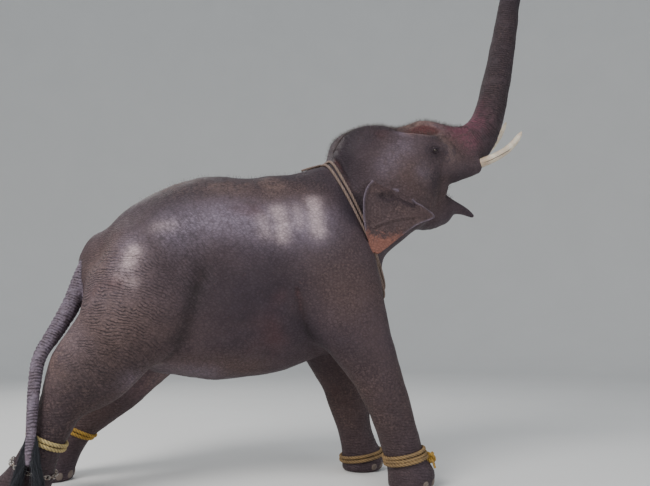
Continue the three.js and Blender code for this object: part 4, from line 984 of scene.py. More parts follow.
# Patches along a path: its points, radius and strength. "head" marks those that turn with the head.
PATCHES = {
    "pink": (
        (((1090, 330, 2990), (1190, 320, 3010)), 75, 0.6), (((1330, 60, 3120),), 120, 0.2, "head"),
        (((1560, 120, 3080), (1700, 60, 3160)), 150, 1.0, "head"), (((1740, -90, 3250),), 150, 0.8),
        (((1640, 200, 2990),), 110, 0.7, "head"),
    ),
    # Dust on the hide, and a painted sheen: the light band along the upper flank.
    "dust": (
        (((-860, 560, 2040), (-500, 540, 2120), (-160, 520, 2080), (200, 490, 2080)), 180, 1.0),
        (((-1213, 560, 1850), (-1250, 560, 1740)), 170, 0.7), (((-1380, 520, 1560),), 280, 0.4),
        (((840, 420, 2620), (1000, 420, 2800)), 110, 0.45), (((-1560, 400, 1150),), 180, 0.6),
        (((-1150, 450, 850), (-600, 420, 830), (-100, 380, 850)), 95, 0.5),
        (((1191, 420, 2599),), 80, 0.4),
        (((-1140, 240, 790), (-900, 240, 870), (-600, 240, 900)), 120, 0.5),
        (((1030, 370, 2942),), 75, 0.6), (((1190, 300, 3030), (1330, 260, 3040)), 85, 0.8),
        (((1120, 390, 2960), (1290, 380, 2940)), 40, 0.7),
        (((1380, 380, 2870), (1450, 350, 2780)), 60, 0.3), (((-1700, 350, 900),), 150, 0.4),
    ),
    # Painted sunlight: pools of light on the hip and streaks down the flank.
    "sun": (
        (((-1165, 555, 1810), (-1195, 565, 1730)), 58, 0.9),
        (((-1270, 560, 1640), (-1150, 580, 1590)), 45, 0.4),
        (((-190, 500, 2120), (-165, 530, 2000)), 65, 0.35),
        (((-70, 470, 2190), (-34, 495, 2093), (-40, 525, 1980)), 66, 0.6),
        (((90, 470, 2200), (105, 500, 2080)), 60, 0.3),
        (((225, 430, 2270), (235, 480, 2170), (252, 520, 2030)), 66, 0.68),
        (((-900, 540, 2050), (-1010, 520, 2030)), 60, 0.3),
    ),
    "ochre": (
        (((1060, 372, 2945), (1125, 376, 2932), (1235, 380, 2930)), 34, 1.0),
        (((1340, 300, 3000),), 75, 1.0), (((1400, 350, 2870), (1440, 330, 2780)), 85, 0.65),
        (((1150, 150, 3080), (1300, 180, 3070)), 130, 0.9),
        (((-600, 330, 2400), (-350, 320, 2420)), 85, 0.3),
        (((-160, 250, 2480), (-90, 330, 2420)), 80, 0.42),
        (((-1140, 240, 790), (-900, 300, 850)), 110, 0.5),
        (((-1620, 420, 1250), (-1700, 420, 950)), 150, 0.45),
    ),
    # Painted shade: places darkened where shade falls, such as the dome, the nape, the back, the barrel, the
    # groin, the legs, the cheek's front and the trunk.
    "shade": (
        (((590, 290, 2950), (520, 340, 2780), (490, 340, 2600)), 150, 1.0),
        (((430, 260, 2720),), 150, 1.0), (((660, 400, 2870),), 120, 0.7),
        (((800, 330, 2990), (900, 330, 2990)), 90, 0.7),
        (((480, 340, 2420), (550, 412, 2200), (640, 380, 2250)), 130, 1.0),
        (((-930, 320, 2330), (-459, 250, 2490), (45, 220, 2530), (300, 220, 2500)), 240, 0.95),
        (((300, 500, 2000), (360, 480, 1800)), 230, 0.5),
        (((-357, 600, 1480), (24, 580, 1622)), 300, 0.6),
        (((-657, 578, 1536), (-860, 480, 1200), (-1120, 500, 960)), 170, 0.25),
        (((-1450, 520, 900), (-1600, 480, 640), (-1750, 480, 350)), 200, 0.7),
        (((1327, 350, 2445), (1302, 380, 2571)), 90, 1.0),
        (((1300, 330, 2680), (1290, 360, 2800)), 80, 0.6),
        (((1245, 385, 2905), (1290, 388, 2850)), 46, 1.0), (((1560, 300, 2560),), 130, 0.7),
        (((900, 500, 300), (850, 500, 700)), 200, 0.45),
        (((-1545, 170, 1800), (-1600, 190, 1500)), 60, 0.9),
        (((240, 460, 1050), (150, 450, 1300)), 130, 0.9), (((420, 560, 1120), (600, 540, 960)), 130, 0.5),
        (((1950, -120, 3300), (2120, -120, 4080), (2300, -100, 4740)), 330, 0.85),
    ),
    "warmth": (
        (((-900, 250, 2420), (-376, 366, 2400), (100, 300, 2380)), 230, 0.9),
        (((-1500, 400, 1750),), 320, 0.8), (((-1300, 500, 1150),), 460, 0.8),
        (((740, 450, 1500),), 420, 0.5), (((900, 450, 700),), 420, 0.6),
        (((1200, 60, 3060), (1500, 150, 2980)), 230, 1.0, "head"), (((600, 350, 600),), 420, 1.0),
        (((-1600, 350, 700),), 420, 0.9), (((-1100, 400, 850), (-300, 300, 870)), 190, 1.0),
        (((420, 560, 1700), (500, 500, 1500)), 300, 0.6),
        (((1000, 350, 2700), (1300, 300, 2500)), 260, 0.8, "head"),
        (((1950, -120, 3300), (2100, -120, 4000)), 330, 0.5),
    ),
    "rump_lines": (
        (((-1420, 450, 1650), (-1250, 520, 1350)), 330, 1.0), (((-1450, 450, 1050),), 260, 0.7),
        (((-1150, 520, 1700),), 200, 0.8),
    ),
    "flank_lines": (
        (((-820, 540, 2000), (-700, 580, 1650)), 300, 1.0), (((-250, 560, 1950),), 420, 0.6),
        (((-1150, 560, 1000), (-1400, 520, 900)), 260, 0.9),
    ),
}
RUMP_LINE_CENTRE = (-1450, 0, 300)


def patch_mask(points, patches):
    mask = np.zeros(len(points))
    for path, radius, strength, *head in patches:
        for side in SIDES:
            line = placed((path[0], *path), side, bool(head))
            mask = np.maximum(mask, strength * np.exp(-(line_distance(points, line) / (radius * MM)) ** 2))
    return mask


EAR_FURROW = ((-174, -40), (-97, -50), (-10, -30), (110, -80))
EAR_FURROW_WIDTH = 55


def ear_masks(points, part):
    """An ear's tip without pigment, its light rim, and painted shade over the ear, deepest along the furrow
    of its hollow.
    """
    tip, rim, hollow = np.zeros((3, len(points)))
    for side in SIDES:
        chosen = part == PART_SLOTS[f"ear_{SIDE_NAMES[side]}"]
        offset = (points[chosen] - placed(EAR_ROOT, side, True)) / MM
        dx, dz = offset[:, 0], offset[:, 2]
        tip[chosen] = smoothstep(-270, -480, dz + 0.05 * dx)
        rim[chosen] = smoothstep(0.90, 1.0, ear_fraction(dx, dz)) * smoothstep(-420, -250, dz)
        furrow = line_distance(offset[:, ::2], np.array(EAR_FURROW, float)) / EAR_FURROW_WIDTH
        hollow[chosen] = 0.25 + 0.6 * np.exp(-furrow ** 2)
    return tip, rim, hollow


def eye_shade(points):
    """Painted shade on the lids and in the hollow round the eyes."""
    shade = np.zeros(len(points))
    wide, high = EYE_OPENING
    for side in SIDES:
        centre, forward, upward, _ = eye_axes(side)
        offset = points - centre
        ratio = np.hypot(offset @ forward / wide, offset @ upward / high / 1.3)
        dark = 1.3 * np.exp(-(ratio / 3.4) ** 2) + 0.5 * np.exp(-((ratio - 4.4) / 0.5) ** 2)
        shade = np.maximum(shade, (np.linalg.norm(offset, axis=1) < 0.12) * dark)
    return np.minimum(shade, 1)


def mark_skin(mesh, part, fold):
    points = corner_points(mesh)
    upward = read(mesh.vertex_normals, "vector", 3)[:, 2]
    height = points[:, 2]
    ear_tip, ear_rim, ear_hollow_shade = ear_masks(points, part)
    tail = part == PART_SLOTS["tail"]
    body = part == PART_SLOTS["body"]
    ahead = (head_place(points) > 0.3) & body
    trunk_place = TRUNK_LIMB.along(points)
    low_leg = smoothstep(1.0, 0.5, height) * (height < 1.1)
    ring_place = np.where(ahead, trunk_place, np.where(tail, TAIL_LIMB.along(points), height))
    ring_depth = np.where(ahead, smoothstep(0.25, 0.7, trunk_place), np.where(tail, 1.0, 0.4 * low_leg))
    mouth = smoothstep(-0.006, -0.03, CLOSED_BODY(points)) * body
    crown = smoothstep(-0.02, 0.10, head_place(points)) * smoothstep(-0.15, 0.6, upward)
    crown *= body * (height > 2.45) * (trunk_place < 0.55)
    spine = smoothstep(0.75, 0.97, upward) * (height > 2.2) * body
    rump_centre = placed(RUMP_LINE_CENTRE)
    patches = {name: patch_mask(points, listed) for name, listed in PATCHES.items()}
    marks = {
        **{name: mask * body for name, mask in patches.items()},
        "ring_place": ring_place,
        "ring_depth": ring_depth * (1 - mouth),
        "blush": ear_tip,
        "dust": np.maximum(patches["dust"] * body, np.maximum(0.8 * ear_rim, tail)),
        "shade": np.maximum(np.maximum(patches["shade"] * body, ear_hollow_shade), eye_shade(points)),
        "warmth": np.maximum(patches["warmth"], 0.7 * ~body),
        "rump_place": np.hypot(points[:, 0] - rump_centre[0], height - rump_centre[2]),
        "fold": fold,
        "mouth": mouth,
        "bristles": np.maximum(crown, 0.12 * spine),
    }
    for name, values in marks.items():
        set_attribute(mesh, name, values)
    set_attribute(mesh, "unwrap", unwrapped(points), "FLOAT_VECTOR", "vector")


def unwrapped(points):
    """A place on a flat unwrap of the body: round its long axis, and along it."""
    axis_height = np.interp(points[:, 0], (-1.6, 0.2, 0.9, 1.5), (1.6, 1.8, 2.5, 2.75))
    around = np.arctan2(points[:, 1], points[:, 2] - axis_height) / math.tau + 0.5
    along = (points[:, 0] - SKIN_LOW[0]) / (SKIN_HIGH[0] - SKIN_LOW[0])
    return np.stack((around, along, np.zeros(len(points))), 1)


def make_skin(settings):
    points, faces = surface_net(BODY, settings.cell)
    mesh = refined(onto_skin(points, 3, settings.cell / 3), faces, settings.cell, settings.fine_cell)
    points = corner_points(mesh)
    _, slope = value_and_slope(BODY, points)
    normals = unit(slope)
    creases, _ = crease_relief(points)
    lumps = lump_relief(points) * smoothstep(0.02, 0.2, points[:, 2])
    height = creases + swelling_relief(points) + lumps + ring_relief(points)
    points = points + normals * height[:, None]
    points[:, 2] = np.maximum(points[:, 2], 0)
    set_points(mesh, shape_lids(points))
    skin = fused_skin(mesh)
    part = corner_parts(skin.data)
    relax_joins(skin.data, part)
    _, fold = crease_relief(corner_points(skin.data))
    mark_skin(skin.data, part, fold)
    skin.data.polygons.foreach_set("material_index", np.zeros(len(skin.data.polygons), int))
    flesh = ["torso", "neck", "head", "lower_jaw", "trunk_base", "trunk_middle", "trunk_tip", "tail"]
    for side in SIDE_NAMES.values():
        flesh += [f"{part}_{side}" for part in ("foreleg", "forefoot", "hindleg", "hindfoot", "ear")]
    finish_piece(skin, skin_material(settings), "hide", *flesh)


# ---- eyes, tusks and nails ----

EYEBALL_RADIUS = 0.0200
EYEBALL_SIDES = 48
CORNEA_BULGE = 0.0016
CORNEA_ANGLE = math.radians(34)


def make_eyes(settings):
    shapes, angles = [], []
    tilt = np.radians(np.concatenate((np.linspace(3, 60, 24), np.linspace(68, 172, 12))))
    reach = (EYEBALL_RADIUS + CORNEA_BULGE * smoothstep(CORNEA_ANGLE, 0, tilt))[:, None, None]
    aside, ahead = np.sin(tilt)[:, None, None], np.cos(tilt)[:, None, None]
    for side in SIDES:
        centre, forward, upward, outward = eye_axes(side)
        wide = turned_towards(forward, upward, even_angles(EYEBALL_SIDES))
        rings = centre + reach * aside * wide + reach * ahead * outward
        front = centre + (EYEBALL_RADIUS + CORNEA_BULGE) * outward
        shapes.append(tube(rings, front, centre - EYEBALL_RADIUS * outward))
        angles += [np.repeat(tilt, EYEBALL_SIDES), (0.0, math.pi)]
    eyes = solid("eyes", *gathered(shapes))
    set_attribute(eyes.data, "eye_angle", np.concatenate(angles))
    finish_piece(eyes, eye_material(settings), "eye", "eye_right", "eye_left")


TUSK_SIDES = 40
TUSK_END_LENGTH = 0.02


def make_tusks(settings):
    shapes = []
    marks = {"tusk_place": [], "tusk_across": [], "tusk_front": []}
    for side in SIDES:
        limb = Limb(TUSK[side], 1, side=side, head=True)
        total = limb.length_at[-1]
        shaft = np.arange(0, total - TUSK_END_LENGTH, 0.011)
        lengths = np.concatenate((shaft, total - TUSK_END_LENGTH * np.linspace(1, 0, 7) ** 1.6))
        rings, angles = limb_rings(limb, lengths, TUSK_SIDES)
        middles = rings.mean(axis=1, keepdims=True)
        end_round = np.sqrt(np.clip((total + 0.006 - lengths) / 0.03, 0, 1))
        flutes = 1 + 0.012 * np.sin(5 * angles + 9 * lengths[:, None]) + 0.008 * np.sin(11 * angles)
        rings = middles + (rings - middles) * (end_round[:, None] * flutes)[..., None]
        tip = middles[-1, 0] + unit(middles[-1, 0] - middles[-2, 0]) * 0.005
        shapes.append(tube(rings, middles[0, 0], tip))
        crack = np.array((0.0, side * math.cos(settings.crack_angle), -math.sin(settings.crack_angle)))
        across = unit(np.cross(unit(np.gradient(middles[:, 0], axis=0)), crack))
        outward = unit(rings - middles)
        marks["tusk_place"] += [np.repeat(lengths, TUSK_SIDES), (0.0, total)]
        marks["tusk_across"] += [np.einsum("ijk,ik->ij", outward, across).ravel(), (1.0, 1.0)]
        marks["tusk_front"] += [(outward @ crack).ravel(), (0.0, 0.0)]
    tusks = solid("tusks", *gathered(shapes))
    for name, values in marks.items():
        set_attribute(tusks.data, name, np.concatenate(values))
    finish_piece(tusks, ivory_material(settings), "ivory", "tusk_right", "tusk_left")


NAIL = {"width": 36, "height": 38, "level": 46, "lift": 7, "root": -9}
NAIL_SIDES = 28
NAIL_RINGS = (0.25, 0.5, 0.72, 0.88, 0.97)
FOOT_RADIUS = 0.19
NAIL_ANGLES = {"fore": (-66, -33, 0, 33, 66), "hind": (-51, -17, 17, 51)}


def nail_shape(sole, angle, size):
    """One toenail: a low shield on the foot, with its rim sunk in the skin."""
    around = even_angles(NAIL_SIDES)
    axis = np.array((sole[0], sole[1], 0.0))

    def ring(fraction, lift):
        u = np.sign(np.cos(around)) * np.abs(np.cos(around)) ** 0.8 * fraction
        v = np.sin(around) * fraction
        v = np.where(v < 0, v * 0.82, v)
        turn = angle + u * NAIL["width"] * size * MM / FOOT_RADIUS
        ways = np.stack((np.cos(turn), np.sin(turn), np.zeros(len(turn))), 1)
        height = (NAIL["level"] + v * NAIL["height"] * size) * MM
        origins = axis + height[:, None] * UP
        reach = skin_reach(origins, ways, 0.32, 0.02)
        return origins + ways * (reach + lift * MM)[:, None]

    rings = [ring(fraction, NAIL["lift"] * (1 - fraction ** 4) + 1.5) for fraction in NAIL_RINGS]
    rings += [ring(1.0, 0.2), ring(0.97, NAIL["root"]), ring(0.4, NAIL["root"])]
    front = rings[0].mean(axis=0) + 0.0004 * np.array((math.cos(angle), math.sin(angle), 0))
    return tube(rings, front, rings[-1].mean(axis=0))


def make_nails(settings):
    shapes = []
    for stations, angles in ((FORELEG, NAIL_ANGLES["fore"]), (HINDLEG, NAIL_ANGLES["hind"])):
        middle = (len(angles) - 1) / 2
        for side in SIDES:
            sole = placed(stations[side][-1][:3], side)
            for i, degrees in enumerate(angles):
                shapes.append(nail_shape(sole, math.radians(degrees), 1 - 0.09 * abs(i - middle)))
    points, faces = gathered(shapes)
    points[:, 2] = np.maximum(points[:, 2], 0.002)
    finish_piece(solid("nails", points, faces), nail_material(settings), "hide")


# ---- hair ----

TUFT = {"highest": 520, "lowest": 318, "tip": 34, "clumps": 46}
PATCH = 0.003


def strand(path, radii):
    """A tapered hair of three sides along a path."""
    _, side, up = axes(np.gradient(path, axis=0))
    circle = turned_towards(side[:, None], up[:, None], even_angles(3))
    rings = path[:-1, None] + circle[:-1] * radii[:-1, None, None]
    return tube(rings, path[0], path[-1])


def tuft_clump(draw, index):
    fraction = (index + 0.5) / TUFT["clumps"]
    height = (TUFT["highest"] + (TUFT["lowest"] - TUFT["highest"]) * fraction) * MM
    way = 1 if index % 2 else -1
    spread = way * (0.022 + 0.095 * draw.random() * (0.45 + 0.55 * fraction))
    lean = draw.uniform(-0.3, 0.3) * abs(spread)
    lowest = (TUFT["tip"] + 120 * draw.random() ** 1.5 * (1.25 - fraction)) * MM
    return height, way, spread, lean, lowest


def make_tail_hair(settings):
    draw = np.random.default_rng(settings.seed)
    shapes, places, shades = [], [], []
    steps = np.linspace(0, 1, 9)
    heights = TAIL_LIMB.rows[::-1, 2]
    for clump in range(TUFT["clumps"]):
        height, way, spread, lean, lowest = tuft_clump(draw, clump)
        for _ in range(settings.tail_hairs // TUFT["clumps"]):
            level = height + draw.uniform(-0.012, 0.012)
            length = np.interp(level, heights, TAIL_LIMB.length_at[::-1])
            row = TAIL_LIMB.row_at(length)
            around = draw.normal(0, 0.55) + (0 if way > 0 else math.pi)
            out = np.array((math.cos(around), math.sin(around), 0.0))
            root = row[:3] + out * row[3] * 0.8
            fan = spread + draw.normal(0, 0.007)
            tip = max(lowest + draw.normal(0, 0.018), 0.012)
            bend = 1 - (1 - steps) ** 2
            curl = draw.normal(0, 0.004, 2)[:, None] * np.sin(steps * draw.uniform(2, 7))
            path = np.stack((
                root[0] + fan * bend + curl[0],
                root[1] + (lean + draw.normal(0, 0.006)) * bend + curl[1],
                root[2] + (tip - root[2]) * steps,
            ), 1)
            thick = draw.uniform(0.0009, 0.0017)
            radii = thick * (1 - steps ** 3 * 0.8)
            shapes.append(strand(path, radii))
            places.append((around / math.tau % 1, length / TAIL_LIMB.length_at[-1]))
            shades.append(draw.random())
    hair = solid("tail_hair", *gathered(shapes))
    each = len(shapes[0][0])
    set_attribute(hair.data, "hair_shade", np.repeat(shades, each))
    add_root_map(hair.data, np.repeat(places, each, axis=0), each)
    finish_piece(hair, hair_material("Tail hair", settings.tail_colour), "tail_hair", "tail_tuft")


def add_root_map(mesh, places, each):
    """A UV map in which each hair is a small patch at its root's place on the skin's unwrap."""
    index = np.arange(each)
    patch = np.stack((index / each, index % 3 / 3), 1) * PATCH
    places = places + np.tile(patch, (len(places) // each, 1))
    corners = read(mesh.loops, "vertex_index", kind=int)
    layer = mesh.uv_layers.new(name="OFBake")
    layer.data.foreach_set("uv", np.ascontiguousarray(places[corners], np.float32).ravel())
# ---- node trees ----


def operation(name, swapped=False):
    def run(self, other=0.0):
        pair = (other, self) if swapped else (self, other)
        return self.graph.math(name, *pair)
    return run


class Value:
    """A node's output. Sums and products of such values add nodes to their graph."""

    def __init__(self, graph, socket):
        self.graph = graph
        self.socket = socket

    __add__, __radd__ = operation("ADD"), operation("ADD", True)
    __sub__, __rsub__ = operation("SUBTRACT"), operation("SUBTRACT", True)
    __mul__, __rmul__ = operation("MULTIPLY"), operation("MULTIPLY", True)
    __abs__ = operation("ABSOLUTE")

    def clamped(self):
        self.socket.node.use_clamp = True
        return self

    def beside(self, output):
        """Another output of the same node."""
        return Value(self.graph, self.socket.node.outputs[output])


class Graph:
    """Adds nodes to a tree. An input is given as a number or as the value that feeds it."""

    def __init__(self, tree):
        self.tree = tree

    def add(self, kind, values=None, **settings):
        node = self.tree.nodes.new(kind)
        for name, value in settings.items():
            setattr(node, name, value)
        for name, value in (values or {}).items():
            if isinstance(value, Value):
                self.tree.links.new(value.socket, node.inputs[name])
            else:
                node.inputs[name].default_value = value
        return node

    def get(self, kind, values=None, output=0, **settings):
        return Value(self, self.add(kind, values, **settings).outputs[output])

    def math(self, operation, first, second=0.0):
        return self.get("ShaderNodeMath", {0: first, 1: second}, operation=operation)

    def vector_math(self, operation, first, second):
        return self.get("ShaderNodeVectorMath", {0: first, 1: second}, operation=operation)

    def resized(self, vector, factor):
        return self.get("ShaderNodeVectorMath", {0: vector, "Scale": factor}, operation="SCALE")

    def stretched(self, vector, scale, turn=None):
        if turn:
            values = {"Vector": vector, "Rotation": turn}
            vector = self.get("ShaderNodeVectorRotate", values, rotation_type="EULER_XYZ")
        return self.vector_math("MULTIPLY", vector, scale)

    def parts(self, vector):
        first = self.get("ShaderNodeSeparateXYZ", {0: vector})
        return first, first.beside(1), first.beside(2)

    def span(self, value, low, high, to_low=0.0, to_high=1.0):
        values = {"Value": value, "From Min": low, "From Max": high, "To Min": to_low, "To Max": to_high}
        return self.get("ShaderNodeMapRange", values, interpolation_type="SMOOTHSTEP")

    def layered(self, colour, *layers):
        """A colour under others, given as (cover, colour), each laid over those before it."""
        for cover, upper in layers:
            pair = [c if isinstance(c, Value) else (*c, 1.0) for c in (colour, upper)]
            colour = self.get("ShaderNodeMix", {0: cover, 6: pair[0], 7: pair[1]}, 2, data_type="RGBA")
        return colour

    def noise(self, vector, scale=1.0, detail=3.0, roughness=0.55, length=None):
        values = {"Vector": vector, "Scale": scale, "Detail": detail, "Roughness": roughness}
        if length is None:
            return self.get("ShaderNodeTexNoise", values)
        return self.get("ShaderNodeTexNoise", {**values, "W": length}, noise_dimensions="4D")

    def attribute(self, name):
        return self.get("ShaderNodeAttribute", None, "Fac", attribute_name=name)

    def place(self):
        return self.get("ShaderNodeTexCoord", None, "Object")

    def group(self, name, **values):
        return self.get("ShaderNodeGroup", values, node_tree=shared_tree(name))

    def circle(self, radius, sides=24):
        values = {"Resolution": sides, "Radius": radius}
        return self.get("GeometryNodeCurvePrimitiveCircle", values, mode="RADIUS")

    def turned(self, rotation, angles):
        """A rotation with a further turn, by Euler angles, in its own axes."""
        turn = self.get("FunctionNodeEulerToRotation", {0: angles})
        values = {"Rotation": rotation, "Rotate By": turn}
        return self.get("FunctionNodeRotateRotation", values, rotation_space="LOCAL")

    def named(self, name, kind="FLOAT_VECTOR"):
        return self.get("GeometryNodeInputNamedAttribute", {"Name": name}, data_type=kind)

    def stored(self, geometry, name, value, kind="FLOAT", domain="POINT"):
        values = {"Geometry": geometry, "Name": name, "Value": value}
        return self.get("GeometryNodeStoreNamedAttribute", values, data_type=kind, domain=domain)

    def realized(self, geometry):
        return self.get("GeometryNodeRealizeInstances", {0: geometry})

    def surfaced(self, geometry, material):
        return self.get("GeometryNodeSetMaterial", {"Geometry": geometry, "Material": material})


SHADER, GEOMETRY = "ShaderNodeTree", "GeometryNodeTree"
TREES = {}


def node_group(name, kind, **inputs):
    """Keeps a function as the builder of a node group with these inputs and their values."""
    def keep(build):
        TREES[name] = (kind, inputs, build)
        return build
    return keep


def socket_type(label, value=0.0):
    named = {"Vector": "Vector", "Geometry": "Geometry", "Finish": "Material"}
    return "NodeSocket" + named.get(label, "Int" if isinstance(value, int) else "Float")


def shared_tree(name):
    """The named node group, built when it is first asked for."""
    if name in bpy.data.node_groups:
        return bpy.data.node_groups[name]
    kind, inputs, build = TREES[name]
    tree = bpy.data.node_groups.new(name, kind)
    for label, value in inputs.items():
        sort = socket_type(label, value)
        socket = tree.interface.new_socket(name=label, in_out="INPUT", socket_type=sort)
        if value is not None:
            socket.default_value = value
    label = "Geometry" if kind == GEOMETRY else "Height"
    tree.interface.new_socket(name=label, in_out="OUTPUT", socket_type=socket_type(label))
    graph = Graph(tree)
    start = graph.add("NodeGroupInput").outputs
    result = build(graph, *(Value(graph, start[label]) for label in inputs))
    tree.links.new(result.socket, graph.add("NodeGroupOutput").inputs[0])
    return tree


@node_group("Crackled hide", SHADER, Vector=None, Scale=40.0, Crack=0.12, Waver=0.02)
def crackled_hide(graph, vector, scale, crack, waver):
    """Small plates of hide parted by fine cracks: 1 on a plate and 0 in a crack."""
    warp = graph.get("ShaderNodeTexNoise", {"Vector": vector, "Scale": 14.0, "Detail": 2.0}, "Color")
    shift = graph.resized(graph.vector_math("SUBTRACT", warp, (0.5, 0.5, 0.5)), waver)
    values = {"Vector": graph.vector_math("ADD", vector, shift), "Scale": scale}
    edge = graph.get("ShaderNodeTexVoronoi", values, "Distance", feature="DISTANCE_TO_EDGE")
    return graph.span(edge, 0.0, crack)


@node_group("Wrinkles", SHADER, Vector=None, Length=0.0, Sharpness=0.12)
def wrinkles(graph, vector, length, sharpness):
    """Irregular wrinkles along a stretched pattern: 0 in a wrinkle and 1 beside it."""
    return graph.span(abs(graph.noise(vector, 1.0, 2.5, 0.6, length) - 0.5), 0.0, sharpness)


@node_group("Folds", SHADER, Vector=None, Length=0.0, Waver=2.5)
def folds(graph, vector, length, waver):
    """Folds one beside another along a length: 0 in a furrow and 1 on a ridge."""
    wave = graph.math("SINE", (length + graph.noise(vector, 1.0, 4.0, 0.6) * waver) * math.tau)
    furrow = 1.0 - graph.span(wave, -1.0, 0.1)
    kept = graph.span(graph.noise(graph.stretched(vector, (2.0, 2.0, 2.0))), 0.30, 0.58)
    return 1.0 - furrow * kept


@node_group("Mottle", SHADER, Vector=None, Scale=3.0, Contrast=0.2)
def mottle(graph, vector, scale, contrast):
    """Blotches of two sizes, from 0 to 1."""
    return graph.span(graph.noise(vector, scale, 6.0, 0.62), 0.5 - contrast, 0.5 + contrast)


BUMP_DEPTH = 0.001


def new_material(name):
    material = bpy.data.materials.new(name)
    material.use_nodes = True
    return material, Graph(material.node_tree)


def feed(graph, colour, roughness, height=None, values=None):
    """Connects what varies to a material's shader, and sets what doesn't on its own sockets."""
    shader = graph.tree.nodes["Principled BSDF"]
    links = graph.tree.links
    links.new(colour.socket, shader.inputs["Base Color"])
    links.new(roughness.socket, shader.inputs["Roughness"])
    if height is not None:
        bump = graph.add("ShaderNodeBump", {"Height": height, "Distance": BUMP_DEPTH, "Strength": 1.0})
        links.new(bump.outputs["Normal"], shader.inputs["Normal"])
    for name, value in (values or {}).items():
        shader.inputs[name].default_value = value


def skin_material(settings):
    material, graph = new_material("Hide")
    place = graph.place()
    warmth, rump_mask, mouth = (graph.attribute(name) for name in ("warmth", "rump_lines", "mouth"))
    tall = graph.stretched(place, (1.0, 1.0, 1.5))
    plates = graph.group("Crackled hide", Vector=tall, Scale=30.0, Crack=0.26, Waver=0.03)
    grain = graph.group("Crackled hide", Vector=tall, Scale=84.0, Crack=0.32, Waver=0.012)
    across_flank = graph.stretched(place, (50, 9, 9), (0, 0.69, 0))
    flank = graph.group("Wrinkles", Vector=across_flank, Sharpness=0.16)

    def folded(size, name, number, waver):
        vector = graph.stretched(place, (size, size, size))
        return graph.group("Folds", Vector=vector, Length=graph.attribute(name) * number, Waver=waver)

    def relief(height, depth, mask=1.0):
        return (height - 1.0) * (depth * settings.wrinkle_depth) * mask

    rump = folded(5, "rump_place", 44.0, 6.0)
    rings = folded(6, "ring_place", 46.0, 3.0)
    lines = relief(rump, 4.4, rump_mask) + relief(flank, 3.0, graph.attribute("flank_lines"))
    lines += relief(rings, 5.5, graph.attribute("ring_depth"))
    net = relief(plates, 1.7) + relief(grain, 0.8)
    height = lines + net + graph.noise(place, 320.0, 2.0) * 0.3
    # Painted shade: darker deep in the wrinkles, in the cracks of the hide and in the skin's creases.
    line_crease_shade = graph.span(lines, 0.0, -4.0 * settings.wrinkle_depth)
    net_crack_shade = graph.span(net, 0.0, -2.6 * settings.wrinkle_depth)
    deep = (line_crease_shade * 0.46 + net_crack_shade * 0.42).clamped()
    deep = (deep + graph.attribute("fold") * 0.5).clamped()
    patches = graph.group("Mottle", Vector=place, Scale=2.1, Contrast=0.16)
    blotches = graph.group("Mottle", Vector=place, Scale=11.0, Contrast=0.22)
    flecks = graph.span(graph.noise(place, 58.0, 4.0, 0.7), 0.40, 0.66)
    broken = graph.span(graph.noise(place, 19.0, 5.0, 0.6), 0.34, 0.60)
    freckle = graph.attribute("blush") + graph.noise(place, 85.0, 3.0, 0.6) + broken * 0.45

    def patch(name, strength, evenness):
        return graph.attribute(name) * graph.span(broken, 0.0, 1.0, evenness, 1.0) * strength

    colour = graph.layered(
        settings.hide_colour,
        ((warmth * 0.8 + patches * 0.3).clamped(), settings.warm_colour),
        (blotches * 0.4, settings.blotch_and_shade_colour),
        # Painted shade from the shade patches, from the ears' hollows and from round the eyes.
        (graph.attribute("shade") * 0.92, settings.blotch_and_shade_colour),
        (flecks * warmth * blotches * 0.5, settings.tan_colour),
        (flecks * 0.06, settings.dust_and_sheen_colour),
        # Dust, with a painted sheen along the upper flank.
        (patch("dust", 0.9, 0.6), settings.dust_and_sheen_colour),
        (rump * rump_mask * 0.26, settings.tan_colour),
        (patch("ochre", 0.8, 0.1), settings.tan_colour),
        # Painted sunlight on the hip and the flank.
        (patch("sun", 1.0, 0.7), settings.sun_colour),
        (patch("pink", 0.95, 0.3), settings.pink_colour),
        (graph.span(freckle, 1.0, 1.5) * 0.9, settings.blush_colour),
        (mouth, settings.mouth_colour),
        # Painted shade in the wrinkles, cracks and creases.
        (deep * 0.85, settings.crease_shade_and_dirt_colour),
    )
    roughness = graph.span(blotches - mouth, -1.0, 1.0, 0.36, 0.66)
    feed(graph, colour, roughness, height, {"Specular IOR Level": 0.2})
    return material


PUPIL_COLOUR = (0.004, 0.003, 0.003)
IRIS_RIM_COLOUR = (0.035, 0.022, 0.017)
EYE_WHITE_COLOUR = (0.22, 0.15, 0.12)


def eye_material(settings):
    material, graph = new_material("Eyeball")
    angle = graph.attribute("eye_angle")
    streaks = graph.noise(graph.place(), 420.0)

    def beyond(inner, outer):
        return graph.span(angle, math.radians(inner), math.radians(outer))

    iris = graph.layered(settings.iris_dark, (streaks, settings.iris_light))
    colour = graph.layered(
        PUPIL_COLOUR,
        (beyond(11, 13), iris), (beyond(29, 34), IRIS_RIM_COLOUR), (beyond(48, 62), EYE_WHITE_COLOUR),
    )
    wet = {"Coat Weight": 1.0, "Coat Roughness": 0.02, "IOR": 1.45}
    feed(graph, colour, streaks * 0.12, values=wet)
    return material


TUSK_CRACK_COLOUR = (0.035, 0.022, 0.015)


